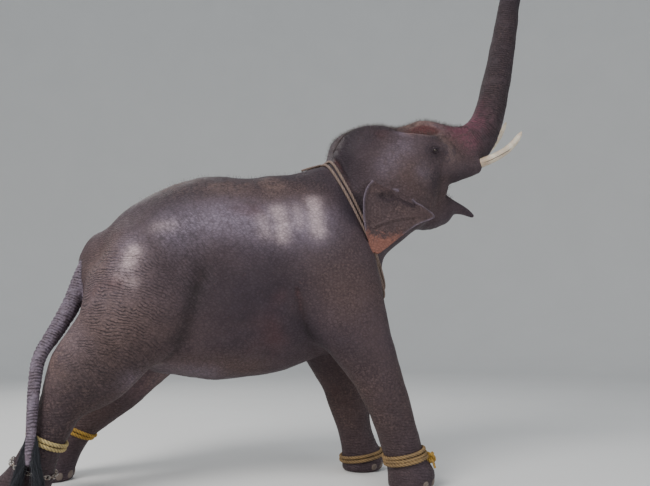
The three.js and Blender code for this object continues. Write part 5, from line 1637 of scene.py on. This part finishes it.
def ivory_material(settings):
    material, graph = new_material("Ivory")
    place = graph.place()
    along = graph.attribute("tusk_place")
    across = abs(graph.attribute("tusk_across") + graph.noise(place, 9.0) * 0.5 - 0.25)
    crack = (1.0 - graph.span(across, 0.035, 0.11)) * graph.span(graph.attribute("tusk_front"), 0.1, 0.4)
    crack *= graph.span(along, 0.16, 0.24) * graph.span(along, 0.50, 0.42)
    rings = graph.noise(graph.stretched(place, (6, 6, 6)), 1.0, 4.0, 0.6, along * 60.0)
    stain = graph.group("Mottle", Vector=place, Scale=14.0, Contrast=0.2)
    colour = graph.layered(
        settings.ivory_colour,
        (rings * 0.55, settings.ivory_shade),
        ((stain * 0.45 + graph.span(along, 0.34, 0.12) * 0.4).clamped(), settings.ivory_stain),
        (crack * 0.92, TUSK_CRACK_COLOUR),
    )
    height = rings * 0.5 + crack * -2.6 + graph.noise(place, 160.0) * 0.2
    glow = {"Subsurface Weight": 0.12, "Subsurface Scale": 0.01}
    feed(graph, colour, graph.span(stain, 0.0, 1.0, 0.34, 0.5), height, glow)
    return material


def nail_material(settings):
    material, graph = new_material("Nail")
    place = graph.place()
    ridges = graph.noise(graph.stretched(place, (60, 60, 9)), 1.0, 4.0)
    stain = graph.group("Mottle", Vector=place, Scale=26.0, Contrast=0.2)
    low = graph.span(graph.parts(place)[2], 0.05, 0.0)
    dirt = (stain * 0.4 + low * 0.5).clamped()
    colour = graph.layered(settings.nail_light, (ridges, settings.nail_dark), (dirt, settings.crease_shade_and_dirt_colour))
    feed(graph, colour, graph.span(stain, 0.0, 1.0, 0.42, 0.7), ridges * 0.8)
    return material


def hair_material(name, tint):
    material, graph = new_material(name)
    streak = graph.noise(graph.place(), 40.0)
    bright = (graph.span(graph.attribute("hair_shade"), 0.75, 1.0) + streak * 0.5).clamped()
    light = tuple(min(1.0, 3.2 * value + 0.05) for value in tint)
    feed(graph, graph.layered(tint, (bright * 0.7, light)), graph.span(streak, 0.0, 1.0, 0.3, 0.55))
    return material


# ---- geometry node trees: rope, chain and bristles ----


def grown(name, data, tree, **values):
    """A plain mesh object made from a mesh or curve by a geometry node tree."""
    source = add_object(f"{name}_source", data)
    modifier = source.modifiers.new(tree, "NODES")
    modifier.node_group = shared_tree(tree)
    for item in modifier.node_group.interface.items_tree:
        if item.in_out == "INPUT" and item.name in values:
            modifier[item.identifier] = values[item.name]
    return evaluated(name, source)


@node_group("Laid rope", GEOMETRY, Geometry=None, Radius=0.013, Lay=0.09, Step=0.008, Finish=None)
def laid_rope(graph, curve, radius, lay, step, finish):
    """A laid rope along a curve: a section of three strands that turns with its length."""
    path = graph.get("GeometryNodeResampleCurve", {"Curve": curve, "Length": step}, mode="LENGTH")
    length = graph.get("GeometryNodeSplineParameter", None, "Length")
    tilt = graph.math("DIVIDE", length, lay) * math.tau
    path = graph.get("GeometryNodeSetCurveTilt", {"Curve": path, "Tilt": tilt})
    path = graph.stored(path, "rope_length", length)
    spot = graph.get("GeometryNodeInputPosition")
    x, y, _ = graph.parts(spot)
    lobe = abs(graph.math("COSINE", graph.math("ARCTAN2", y, x) * 1.5))
    offset = graph.resized(spot, lobe * 0.27 - 0.27)
    section = graph.get("GeometryNodeSetPosition", {"Geometry": graph.circle(radius), "Offset": offset})
    section = graph.stored(section, "rope_strand", lobe)
    values = {"Curve": path, "Profile Curve": section, "Fill Caps": True}
    wall = graph.get("GeometryNodeCurveToMesh", values)
    return graph.surfaced(graph.realized(wall), finish)


@node_group(
    "Chain", GEOMETRY,
    Geometry=None, Links=26, Wire=0.0045, Bend=0.0135, Straight=0.011, Lean=0.78, Finish=None,
)
def chain_links(graph, curve, count, wire, bend, straight, lean, finish):
    """Oval links along a closed curve, each a quarter turn on from the last."""
    places = graph.get("GeometryNodeCurveToPoints", {"Curve": curve, "Count": count}, mode="COUNT")
    quarter = graph.math("MODULO", graph.get("GeometryNodeInputIndex"), 2.0) * (math.pi / 2)
    twist = graph.get("ShaderNodeCombineXYZ", {"Z": quarter + lean})
    facing = graph.turned(places.beside("Rotation"), twist)
    x, _, _ = graph.parts(graph.get("GeometryNodeInputPosition"))
    stretch = graph.get("ShaderNodeCombineXYZ", {"X": graph.math("SIGN", x) * straight})
    oval = graph.get("GeometryNodeSetPosition", {"Geometry": graph.circle(bend), "Offset": stretch})
    values = {"Geometry": oval, "Rotation": Euler((0, math.pi / 2, 0))}
    upright = graph.get("GeometryNodeTransform", values)
    link = graph.get("GeometryNodeCurveToMesh", {"Curve": upright, "Profile Curve": graph.circle(wire, 10)})
    values = {"Points": places, "Instance": link, "Rotation": facing}
    links = graph.get("GeometryNodeInstanceOnPoints", values)
    return graph.surfaced(graph.realized(links), finish)


@node_group(
    "Bristles", GEOMETRY,
    Geometry=None, Density=3000.0, Length=0.03, Thickness=0.0006, Seed=3, Finish=None,
)
def scattered_bristles(graph, skin, density, length, thickness, seed, finish):
    """Short stiff hairs scattered over a mesh where its bristles attribute allows."""
    values = {"Mesh": skin, "Density": graph.named("bristles", "FLOAT") * density, "Seed": seed}
    roots = graph.get("GeometryNodeDistributePointsOnFaces", values, distribute_method="RANDOM")
    values = {0: (-0.5, -0.5, 0.0), 1: (0.5, 0.5, 6.28), "Seed": seed}
    lean = graph.get("FunctionNodeRandomValue", values, data_type="FLOAT_VECTOR")
    facing = graph.turned(roots.beside("Rotation"), lean)
    values = {"Vertices": 3, "Side Segments": 2, "Radius Bottom": thickness, "Depth": length}
    hair = graph.get("GeometryNodeMeshCone", values, "Mesh", fill_type="NGON")
    x, _, z = graph.parts(graph.resized(graph.get("GeometryNodeInputPosition"), 0.09))
    leaf = graph.get("ShaderNodeCombineXYZ", {"X": x * 20.0, "Y": z})
    hair = graph.stored(hair, "leaf", leaf, "FLOAT_VECTOR")
    size = graph.get("FunctionNodeRandomValue", {2: 0.45, 3: 1.35, "Seed": seed}, 1, data_type="FLOAT")
    values = {"Points": roots, "Instance": hair, "Rotation": facing, "Scale": size}
    hairs = graph.get("GeometryNodeInstanceOnPoints", values)
    shade = graph.get("FunctionNodeRandomValue", {"Seed": seed}, 1, data_type="FLOAT")
    hairs = graph.realized(graph.stored(hairs, "hair_shade", shade, domain="INSTANCE"))
    unwrap = graph.vector_math("ADD", graph.named("unwrap"), graph.named("leaf"))
    return graph.surfaced(graph.stored(hairs, "OFBake", unwrap, "FLOAT2", "CORNER"), finish)


def make_bristles(settings):
    finish = hair_material("Bristle", settings.bristle_colour)
    bristles = grown(
        "bristles", bpy.data.objects["skin"].data.copy(), "Bristles", Density=settings.bristle_density,
        Length=settings.bristle_length, Thickness=settings.bristle_thickness, Seed=settings.seed,
        Finish=finish,
    )
    keep_only(bristles.data, {"OFBake", "hair_shade"})
    finish_piece(bristles, finish, "tail_hair")


def keep_only(mesh, names):
    for attribute in list(mesh.attributes):
        if not attribute.is_required and not attribute.name.startswith(".") and attribute.name not in names:
            mesh.attributes.remove(attribute)


# ---- ropes and chain ----

NECK_ROPE_NORMAL = (0.908, 0, 0.419)
NECK_ROPES = ({"nape": 365, "slack": 30}, {"nape": 407, "slack": 50})
NECK_ROPE_LEVEL = 2220
NECK_ROPE_FORWARD = 220
NECK_ROPE_ENDS_AT = 345
NECK_ROPE_ENDS = ({"length": 180, "drift": 45, "start": 0}, {"length": 125, "drift": 18, "start": 30})
# Ropes round the ankles: leg, side, height, normal, turns and colour.
LEG_ROPES = {
    "foreleg_right": (FORELEG, RIGHT, 243, (-0.22, 0, 1), 3, "yellow"),
    "foreleg_left": (FORELEG, LEFT, 130, (-0.18, 0, 1), 2, "yellow"),
    "hindleg_right": (HINDLEG, RIGHT, 440, (0.5, 0, 1), 2, "pale"),
    "hindleg_left": (HINDLEG, LEFT, 410, (0.5, 0, 1), 2, "ochre"),
}
LEG_ROPE_FINISHES = {"yellow": "Brown yellow rope", "pale": "Pale yellow rope", "ochre": "Ochre rope"}
LEG_ROPE_SEED = 4
TURN_SPACING = 1.85
CHAIN = {"height": 240, "normal": (0.42, 0, 1), "links": 26, "lift": 0.018}
KNOT = {"height": 232, "angle": math.radians(-12), "lift": 0.034, "size": 0.030, "radius": 0.0145}
KNOT_END = {"radius": 0.0105, "aside": 0.045, "out": 0.03, "drops": {1: 0.050, -1: 0.075}}


def curve_from(name, points, closed=True):
    curve = bpy.data.curves.new(name, "CURVE")
    curve.dimensions = "3D"
    spline = curve.splines.new("POLY")
    spline.points.add(len(points) - 1)
    spline.points.foreach_set("co", np.hstack((points, np.ones((len(points), 1)))).ravel())
    spline.use_cyclic_u = closed
    return curve


def skin_loop(centre, normal, count, lift):
    """Points of a closed loop round the skin; lift gives the height over it from the way out."""
    _, side, up = axes(normal)
    ways = turned_towards(side, up, even_angles(count))
    return centre + ways * (skin_reach(centre[None], ways) + lift(ways))[:, None]


def rope(name, points, radius, lay, finish, closed=True):
    """A laid rope; on a closed loop the lay is changed a little, so that its strands meet."""
    if closed:
        length = np.linalg.norm(points - np.roll(points, 1, axis=0), axis=1).sum()
        lay = length * 3 / round(3 * length / lay)
    curve = curve_from(name, points, closed)
    return grown(name, curve, "Laid rope", Radius=radius, Lay=lay, Finish=finish)


def rope_material(name, light, dark, dirt):
    material, graph = new_material(name)
    place = graph.place()
    twist = graph.attribute("rope_length") * 420.0
    yarns = graph.noise(graph.stretched(place, (30, 30, 30)), 1.0, 2.0, 0.5, twist)
    stain = graph.group("Mottle", Vector=place, Scale=17.0, Contrast=0.18)
    fuzz = graph.noise(place, 700.0, 2.0)
    valley = 1.0 - graph.span(graph.attribute("rope_strand"), 0.0, 0.55)
    shadow = tuple(0.25 * value for value in dirt)
    colour = graph.layered(light, (yarns, dark), (stain * 0.45, dirt), (valley * 0.8, shadow))
    feed(graph, colour, graph.span(fuzz, 0.0, 1.0, 0.75, 0.95), yarns * 0.9 + fuzz * 0.4)
    return material


def make_neck_ropes(settings):
    finish = rope_material("Tan rope", settings.tan_light, settings.tan_dark, settings.dirt_colour)
    radius = settings.neck_radius
    pieces = []
    for i, band in enumerate(NECK_ROPES):
        def lift(ways, slack=band["slack"] * MM):
            return radius * 0.92 + slack * np.maximum(0, -ways[:, 2]) ** 3

        centre = placed((band["nape"] + NECK_ROPE_FORWARD, 0, NECK_ROPE_LEVEL))
        loop = skin_loop(centre, NECK_ROPE_NORMAL, 140, lift)
        pieces.append(rope(f"neck_rope_{i}", loop, radius, settings.lay, finish))
    for i, end in enumerate(NECK_ROPE_ENDS):
        t = np.linspace(0, 1, 24)
        x = placed((NECK_ROPE_ENDS_AT, 0, 0))[0] - end["length"] * MM * t
        y = end["start"] * MM - end["drift"] * MM * np.sin(t * 2.2)
        low = np.stack((x, y, np.full(24, 2.0)), 1)
        path = low + UP * (skin_reach(low, UP) + radius * 0.9 + 0.012 * (1 - t) ** 2)[:, None]
        pieces.append(rope(f"neck_rope_end_{i}", path, radius * 0.9, settings.lay, finish, closed=False))
    finish_piece(joined("neck_ropes", pieces), finish, "tan_rope", "neck_rope_rear", "neck_rope_front")


def leg_centre(leg, side, height):
    falling = Limb(leg[side], 1, side=side, steps=6).rows[::-1]
    return np.array([np.interp(height * MM, falling[:, 2], falling[:, k]) for k in range(3)])


def make_leg_ropes(settings):
    finishes = {
        tint: rope_material(
            name, getattr(settings, f"{tint}_light"), getattr(settings, f"{tint}_dark"), settings.dirt_colour,
        )
        for tint, name in LEG_ROPE_FINISHES.items()
    }
    draw = np.random.default_rng(LEG_ROPE_SEED)
    radius = settings.leg_radius
    for name, (leg, side, height, normal, turns, tint) in LEG_ROPES.items():
        normal = unit(normal)
        pieces = []
        for turn in range(turns):
            offset = (turn - (turns - 1) / 2) * TURN_SPACING * radius
            lean = normal + np.array((draw.uniform(-0.03, 0.03), draw.uniform(-0.03, 0.03), 0))
            centre = leg_centre(leg, side, height) + normal * offset
            loop = skin_loop(centre, unit(lean), 90, lambda ways: radius * 0.95)
            pieces.append(rope(f"{name}_turn_{turn}", loop, radius, settings.lay, finishes[tint]))
        finish_piece(joined(f"{name}_rope_turns", pieces), finishes[tint], "yellow_rope", f"{name}_rope")
    make_knot(settings, finishes["ochre"])


def make_knot(settings, finish):
    """The tight knot in front of the right fore ankle, and its two short ends."""
    centre = leg_centre(FORELEG, RIGHT, KNOT["height"])
    out = np.array((math.cos(KNOT["angle"]), math.sin(KNOT["angle"]), 0.0))
    place = centre + out * (skin_reach(centre, out)[0] + KNOT["lift"])
    side = np.cross(UP, out)
    lay = settings.lay * 0.8
    t = np.linspace(0, math.tau, 160, endpoint=False)[:, None]
    bulge = 1 + 0.45 * np.cos(3 * t)
    wide = KNOT["size"] * (0.85 * np.cos(2 * t) * bulge)
    deep = KNOT["size"] * (0.75 * np.sin(2 * t) * bulge)
    high = KNOT["size"] * (0.95 * np.sin(3 * t))
    loop = place + wide * side + deep * out + high * UP
    pieces = [rope("knot_loop", loop, KNOT["radius"], lay, finish)]
    for way, drop in KNOT_END["drops"].items():
        s = np.linspace(0, 1, 20)[:, None]
        path = place + side * way * KNOT_END["aside"] * s + out * (KNOT_END["out"] * s) - UP * drop * s ** 2
        pieces.append(rope(f"knot_end_{way}", path, KNOT_END["radius"], lay, finish, closed=False))
    finish_piece(joined("rope_knot", pieces), finish, "yellow_rope")


def make_chain(settings):
    centre = leg_centre(HINDLEG, RIGHT, CHAIN["height"])
    loop = skin_loop(centre, unit(CHAIN["normal"]), 104, lambda ways: CHAIN["lift"])
    finish = steel_material(settings)
    chain = grown("chain", curve_from("chain", loop), "Chain", Links=CHAIN["links"], Finish=finish)
    finish_piece(chain, finish, "chain_steel", "ankle_chain")


def steel_material(settings):
    material, graph = new_material("Chain steel")
    place = graph.place()
    rust = graph.group("Mottle", Vector=place, Scale=38.0, Contrast=0.12)
    wear = graph.noise(place, 210.0, 4.0)
    colour = graph.layered(settings.steel_colour, (rust * 0.75, settings.rust_colour))
    roughness = graph.span(rust + wear * 0.4, 0.0, 1.2, 0.28, 0.72)
    feed(graph, colour, roughness, wear * 0.35, {"Metallic": 0.85})
    return material


# ---- the studio ----

CAMERA = {"place": (-0.57834921, -5.1116355, 1.2), "lens": 32.455, "pitch": 8.922, "yaw": 8.5}
BACKDROP = {"rings": (3.0, 8.0, 12.0, 15.0), "sides": 96, "flat": 15.0, "rise": 7.0, "high": 18.0}
AIR_COLOUR = (0.80, 0.86, 0.93, 1.0)
# Area lights: place, target, size and colour.
LIGHTS = {
    "key": ((-5.5, -6.0, 8.5), (0.0, 0.0, 1.8), 5.5, (1.0, 0.98, 0.96)),
    "fill": ((6.5, -8.0, 3.5), (0.3, 0.0, 1.8), 6.0, (0.90, 0.95, 1.0)),
    "rim": ((-4.0, 6.5, 8.0), (0.0, 0.0, 2.2), 5.0, (1.0, 0.98, 0.95)),
}


def backdrop_shape():
    """A round floor whose edge bends up into a wall."""
    sides, flat, rise = BACKDROP["sides"], BACKDROP["flat"], BACKDROP["rise"]
    circle = turned_towards(np.array((1.0, 0.0, 0.0)), ACROSS, even_angles(sides))
    rings = [circle * reach for reach in BACKDROP["rings"]]
    for bend in np.linspace(0, math.pi / 2, 16)[1:]:
        rings.append(circle * (flat + rise * math.sin(bend)) + UP * rise * (1 - math.cos(bend)))
    rings.append(circle * (flat + rise) + UP * BACKDROP["high"])
    points = np.vstack([*rings, np.zeros((1, 3))])
    index = np.arange(len(rings) * sides).reshape(-1, sides)
    after = np.roll(index, -1, axis=1)
    faces = np.stack((index[:-1], index[1:], after[1:], after[:-1]), -1).reshape(-1, 4).tolist()
    return points, faces + [(len(points) - 1, a, b) for a, b in zip(index[0], after[0])]


def floor_material(settings):
    material, graph = new_material("Floor")
    tone = graph.noise(graph.place(), 0.7)
    worn = tuple(0.94 * value for value in settings.floor_colour)
    feed(graph, graph.layered(settings.floor_colour, (tone, worn)), graph.span(tone, 0, 1, 0.85, 0.95))
    return material


def make_stage(settings):
    floor = solid("floor", *backdrop_shape())
    shade_smooth(floor.data)
    floor.data.materials.append(floor_material(settings))
    for name, (place, target, size, tint) in LIGHTS.items():
        add_light(name, place, target, size, getattr(settings, f"{name}_power"), tint)
    world = bpy.data.worlds.new("Studio air")
    world.use_nodes = True
    air = world.node_tree.nodes["Background"].inputs
    air["Color"].default_value = AIR_COLOUR
    air["Strength"].default_value = settings.air_strength
    bpy.context.scene.world = world
    add_camera()


def add_light(name, place, target, size, power, tint):
    light = bpy.data.lights.new(name, "AREA")
    light.shape = "DISK"
    light.size = size
    light.energy = power
    light.color = tint
    lamp = add_object(name, light)
    lamp.location = place
    way = unit(np.array(target) - np.array(place))
    lamp.rotation_euler = Euler((math.acos(-way[2]), 0, math.atan2(-way[0], way[1])))


def add_camera():
    data = bpy.data.cameras.new("camera")
    data.sensor_fit = "HORIZONTAL"
    data.sensor_width = 36.0
    data.lens = CAMERA["lens"]
    data.clip_end = 200.0
    camera = add_object("camera", data)
    camera.location = CAMERA["place"]
    camera.rotation_euler = Euler((math.radians(90 + CAMERA["pitch"]), 0, -math.radians(CAMERA["yaw"])))
    bpy.context.scene.camera = camera


# ---- settings, operators and the panel ----


def colour_property(name, description, default):
    return FloatVectorProperty(
        name=name, description=description, default=default, size=3, min=0.0, max=1.0, subtype="COLOR",
    )


def length_property(name, description, default):
    return FloatProperty(
        name=name, description=description, default=default, min=0.0001, precision=4, unit="LENGTH",
    )


def number_property(name, description, default, **limits):
    return FloatProperty(name=name, description=description, default=default, **limits)


class ElephantSkinSettings(bpy.types.PropertyGroup):
    cell: length_property("Cell", "Edge length of the skin's faces on the trunk of the body", 0.028)
    fine_cell: length_property("Fine cell", "Edge length of the skin's faces on the head", 0.0145)
    wrinkle_depth: number_property("Wrinkle depth", "Depth of the fine wrinkles", 1.0, min=0.0)
    hide_colour: colour_property("Hide", "Purple grey of the hide", (0.076, 0.053, 0.066))
    warm_colour: colour_property("Warm hide", "Brown of the back and the legs", (0.100, 0.060, 0.052))
    # Also the colour of the painted shade over the dome, the back, the barrel and other shaded places.
    blotch_and_shade_colour: colour_property("Dark hide", "Dark blotches and shaded folds", (0.026, 0.018, 0.025))
    tan_colour: colour_property("Tan flecks", "Flecks on the back and the forehead", (0.280, 0.180, 0.145))
    # Colour of the painted shade deep in the wrinkles, cracks and creases of the hide.
    crease_shade_and_dirt_colour: colour_property("Cracks", "Colour deep in wrinkles and folds", (0.016, 0.012, 0.013))
    # Colour of the dust and of the painted sheen along the upper flank.
    dust_and_sheen_colour: colour_property("Dust and sheen", "Dry dust on the flank", (0.235, 0.190, 0.245))
    # Colour of the painted sunlight on the hip and the flank.
    sun_colour: colour_property("Sunlit", "Bleached hide of the hip and the flank", (0.620, 0.480, 0.490))
    pink_colour: colour_property("Pink", "Flushed skin of the trunk's root", (0.215, 0.070, 0.105))
    blush_colour: colour_property("Blush", "Skin without pigment at the ears' tips", (0.270, 0.115, 0.085))
    mouth_colour: colour_property("Mouth", "Inside of the mouth", (0.110, 0.040, 0.040))


class ElephantDetailSettings(bpy.types.PropertyGroup):
    iris_dark: colour_property("Iris, dark", "Dark streaks of the iris", (0.018, 0.009, 0.005))
    iris_light: colour_property("Iris, light", "Light streaks of the iris", (0.060, 0.030, 0.014))
    ivory_colour: colour_property("Ivory", "Cream of the tusks", (0.800, 0.720, 0.590))
    ivory_shade: colour_property("Ivory, shade", "Darker layers of the tusks", (0.560, 0.450, 0.320))
    ivory_stain: colour_property("Ivory, stain", "Stain near the root", (0.300, 0.180, 0.100))
    crack_angle: number_property(
        "Crack", "How far below its side a tusk has its crack", 0.35, subtype="ANGLE",
    )
    nail_light: colour_property("Nail, light", "Light keratin", (0.230, 0.180, 0.150))
    nail_dark: colour_property("Nail, dark", "Dark keratin", (0.110, 0.080, 0.066))
    crease_shade_and_dirt_colour: colour_property("Dirt", "Dirt on the nails", (0.060, 0.042, 0.034))


class ElephantHairSettings(bpy.types.PropertyGroup):
    seed: IntProperty(name="Seed", description="Seed of all random hair", default=11, min=0)
    tail_hairs: IntProperty(name="Tail hairs", description="Hairs of the tail's tuft", default=920, min=46)
    tail_colour: colour_property("Tail hair", "Colour of the tuft", (0.012, 0.013, 0.018))
    bristle_density: number_property("Bristles", "Bristles to a square metre of the crown", 7000.0)
    bristle_length: length_property("Bristle length", "Mean length of a bristle", 0.034)
    bristle_thickness: length_property("Bristle thickness", "Radius of a bristle at its root", 0.0007)
    bristle_colour: colour_property("Bristle", "Colour of the bristles", (0.040, 0.026, 0.022))


class ElephantRopeSettings(bpy.types.PropertyGroup):
    neck_radius: length_property("Neck rope", "Radius of the neck ropes", 0.0125)
    leg_radius: length_property("Leg rope", "Radius of the leg ropes", 0.0150)
    lay: length_property("Lay", "Length of rope in one turn of its strands", 0.085)
    tan_light: colour_property("Tan, light", "Light yarns of the neck ropes", (0.330, 0.240, 0.205))
    tan_dark: colour_property("Tan, dark", "Dark yarns of the neck ropes", (0.170, 0.115, 0.095))
    yellow_light: colour_property("Yellow, light", "Light yarns of the fore ropes", (0.400, 0.260, 0.110))
    yellow_dark: colour_property("Yellow, dark", "Dark yarns of the fore ropes", (0.200, 0.120, 0.050))
    pale_light: colour_property("Pale, light", "Light yarns of the right hind rope", (0.700, 0.560, 0.260))
    pale_dark: colour_property("Pale, dark", "Dark yarns of the right hind rope", (0.450, 0.330, 0.120))
    ochre_light: colour_property("Ochre, light", "Light yarns of the left hind rope", (0.600, 0.360, 0.050))
    ochre_dark: colour_property("Ochre, dark", "Dark yarns of the left hind rope", (0.360, 0.195, 0.025))
    dirt_colour: colour_property("Dirt", "Dirt on the ropes", (0.110, 0.072, 0.045))
    steel_colour: colour_property("Steel", "Chain", (0.480, 0.460, 0.430))
    rust_colour: colour_property("Rust", "Rust on the chain", (0.150, 0.070, 0.035))


class ElephantStageSettings(bpy.types.PropertyGroup):
    floor_colour: colour_property("Floor", "Pale floor and backdrop", (0.800, 0.795, 0.780))
    key_power: number_property("Key", "Power of the key light", 1000.0, subtype="POWER")
    fill_power: number_property("Fill", "Power of the fill light", 240.0, subtype="POWER")
    rim_power: number_property("Rim", "Power of the rim light", 260.0, subtype="POWER")
    air_strength: number_property("Air", "Strength of the studio's air", 0.55, min=0.0)


SETTINGS = {
    "elephant_skin": ElephantSkinSettings,
    "elephant_detail": ElephantDetailSettings,
    "elephant_hair": ElephantHairSettings,
    "elephant_rope": ElephantRopeSettings,
    "elephant_stage": ElephantStageSettings,
}


class ELEPHANT_OT_skin(bpy.types.Operator):
    """Builds the skin of the body, head, trunk, legs, ears and tail"""

    bl_idname = "elephant.skin"
    bl_label = "Skin"

    def execute(self, context):
        make_skin(context.scene.elephant_skin)
        return {"FINISHED"}


class ELEPHANT_OT_eyes(bpy.types.Operator):
    """Builds both eyeballs"""

    bl_idname = "elephant.eyes"
    bl_label = "Eyes"

    def execute(self, context):
        make_eyes(context.scene.elephant_detail)
        return {"FINISHED"}


class ELEPHANT_OT_tusks(bpy.types.Operator):
    """Builds both tusks"""

    bl_idname = "elephant.tusks"
    bl_label = "Tusks"

    def execute(self, context):
        make_tusks(context.scene.elephant_detail)
        return {"FINISHED"}


class ELEPHANT_OT_nails(bpy.types.Operator):
    """Builds the toenails of all four feet"""

    bl_idname = "elephant.nails"
    bl_label = "Nails"

    def execute(self, context):
        make_nails(context.scene.elephant_detail)
        return {"FINISHED"}


class ELEPHANT_OT_hair(bpy.types.Operator):
    """Builds the tail's tuft and the bristles of the crown"""

    bl_idname = "elephant.hair"
    bl_label = "Hair"

    def execute(self, context):
        make_tail_hair(context.scene.elephant_hair)
        make_bristles(context.scene.elephant_hair)
        return {"FINISHED"}


class ELEPHANT_OT_ropes(bpy.types.Operator):
    """Builds the ropes round the neck and the legs, and the knot"""

    bl_idname = "elephant.ropes"
    bl_label = "Ropes"

    def execute(self, context):
        make_neck_ropes(context.scene.elephant_rope)
        make_leg_ropes(context.scene.elephant_rope)
        return {"FINISHED"}


class ELEPHANT_OT_chain(bpy.types.Operator):
    """Builds the chain round the right hind ankle"""

    bl_idname = "elephant.chain"
    bl_label = "Chain"

    def execute(self, context):
        make_chain(context.scene.elephant_rope)
        return {"FINISHED"}


class ELEPHANT_OT_stage(bpy.types.Operator):
    """Builds the floor, the lights and the camera"""

    bl_idname = "elephant.stage"
    bl_label = "Stage"

    def execute(self, context):
        make_stage(context.scene.elephant_stage)
        return {"FINISHED"}


class ELEPHANT_PT_panel(bpy.types.Panel):
    """Lists the settings and the pieces"""

    bl_label = "Elephant"
    bl_space_type = "VIEW_3D"
    bl_region_type = "UI"
    bl_category = "Elephant"

    def draw(self, context):
        for operator in OPERATORS:
            self.layout.operator(operator.bl_idname)
        for name in SETTINGS:
            group = getattr(context.scene, name)
            box = self.layout.box()
            for key in group.bl_rna.properties.keys():
                if key not in ("rna_type", "name"):
                    box.prop(group, key)


OPERATORS = (
    ELEPHANT_OT_skin, ELEPHANT_OT_eyes, ELEPHANT_OT_tusks, ELEPHANT_OT_nails,
    ELEPHANT_OT_hair, ELEPHANT_OT_ropes, ELEPHANT_OT_chain, ELEPHANT_OT_stage,
)
CLASSES = (*SETTINGS.values(), *OPERATORS, ELEPHANT_PT_panel)


def register():
    for item in CLASSES:
        bpy.utils.register_class(item)
    for name, group in SETTINGS.items():
        setattr(bpy.types.Scene, name, PointerProperty(type=group))


def unregister():
    for name in SETTINGS:
        delattr(bpy.types.Scene, name)
    for item in reversed(CLASSES):
        bpy.utils.unregister_class(item)


def main():
    register()
    for operator in OPERATORS:
        group, name = operator.bl_idname.split(".")
        getattr(getattr(bpy.ops, group), name)()


if __name__ == "__main__":
    main()
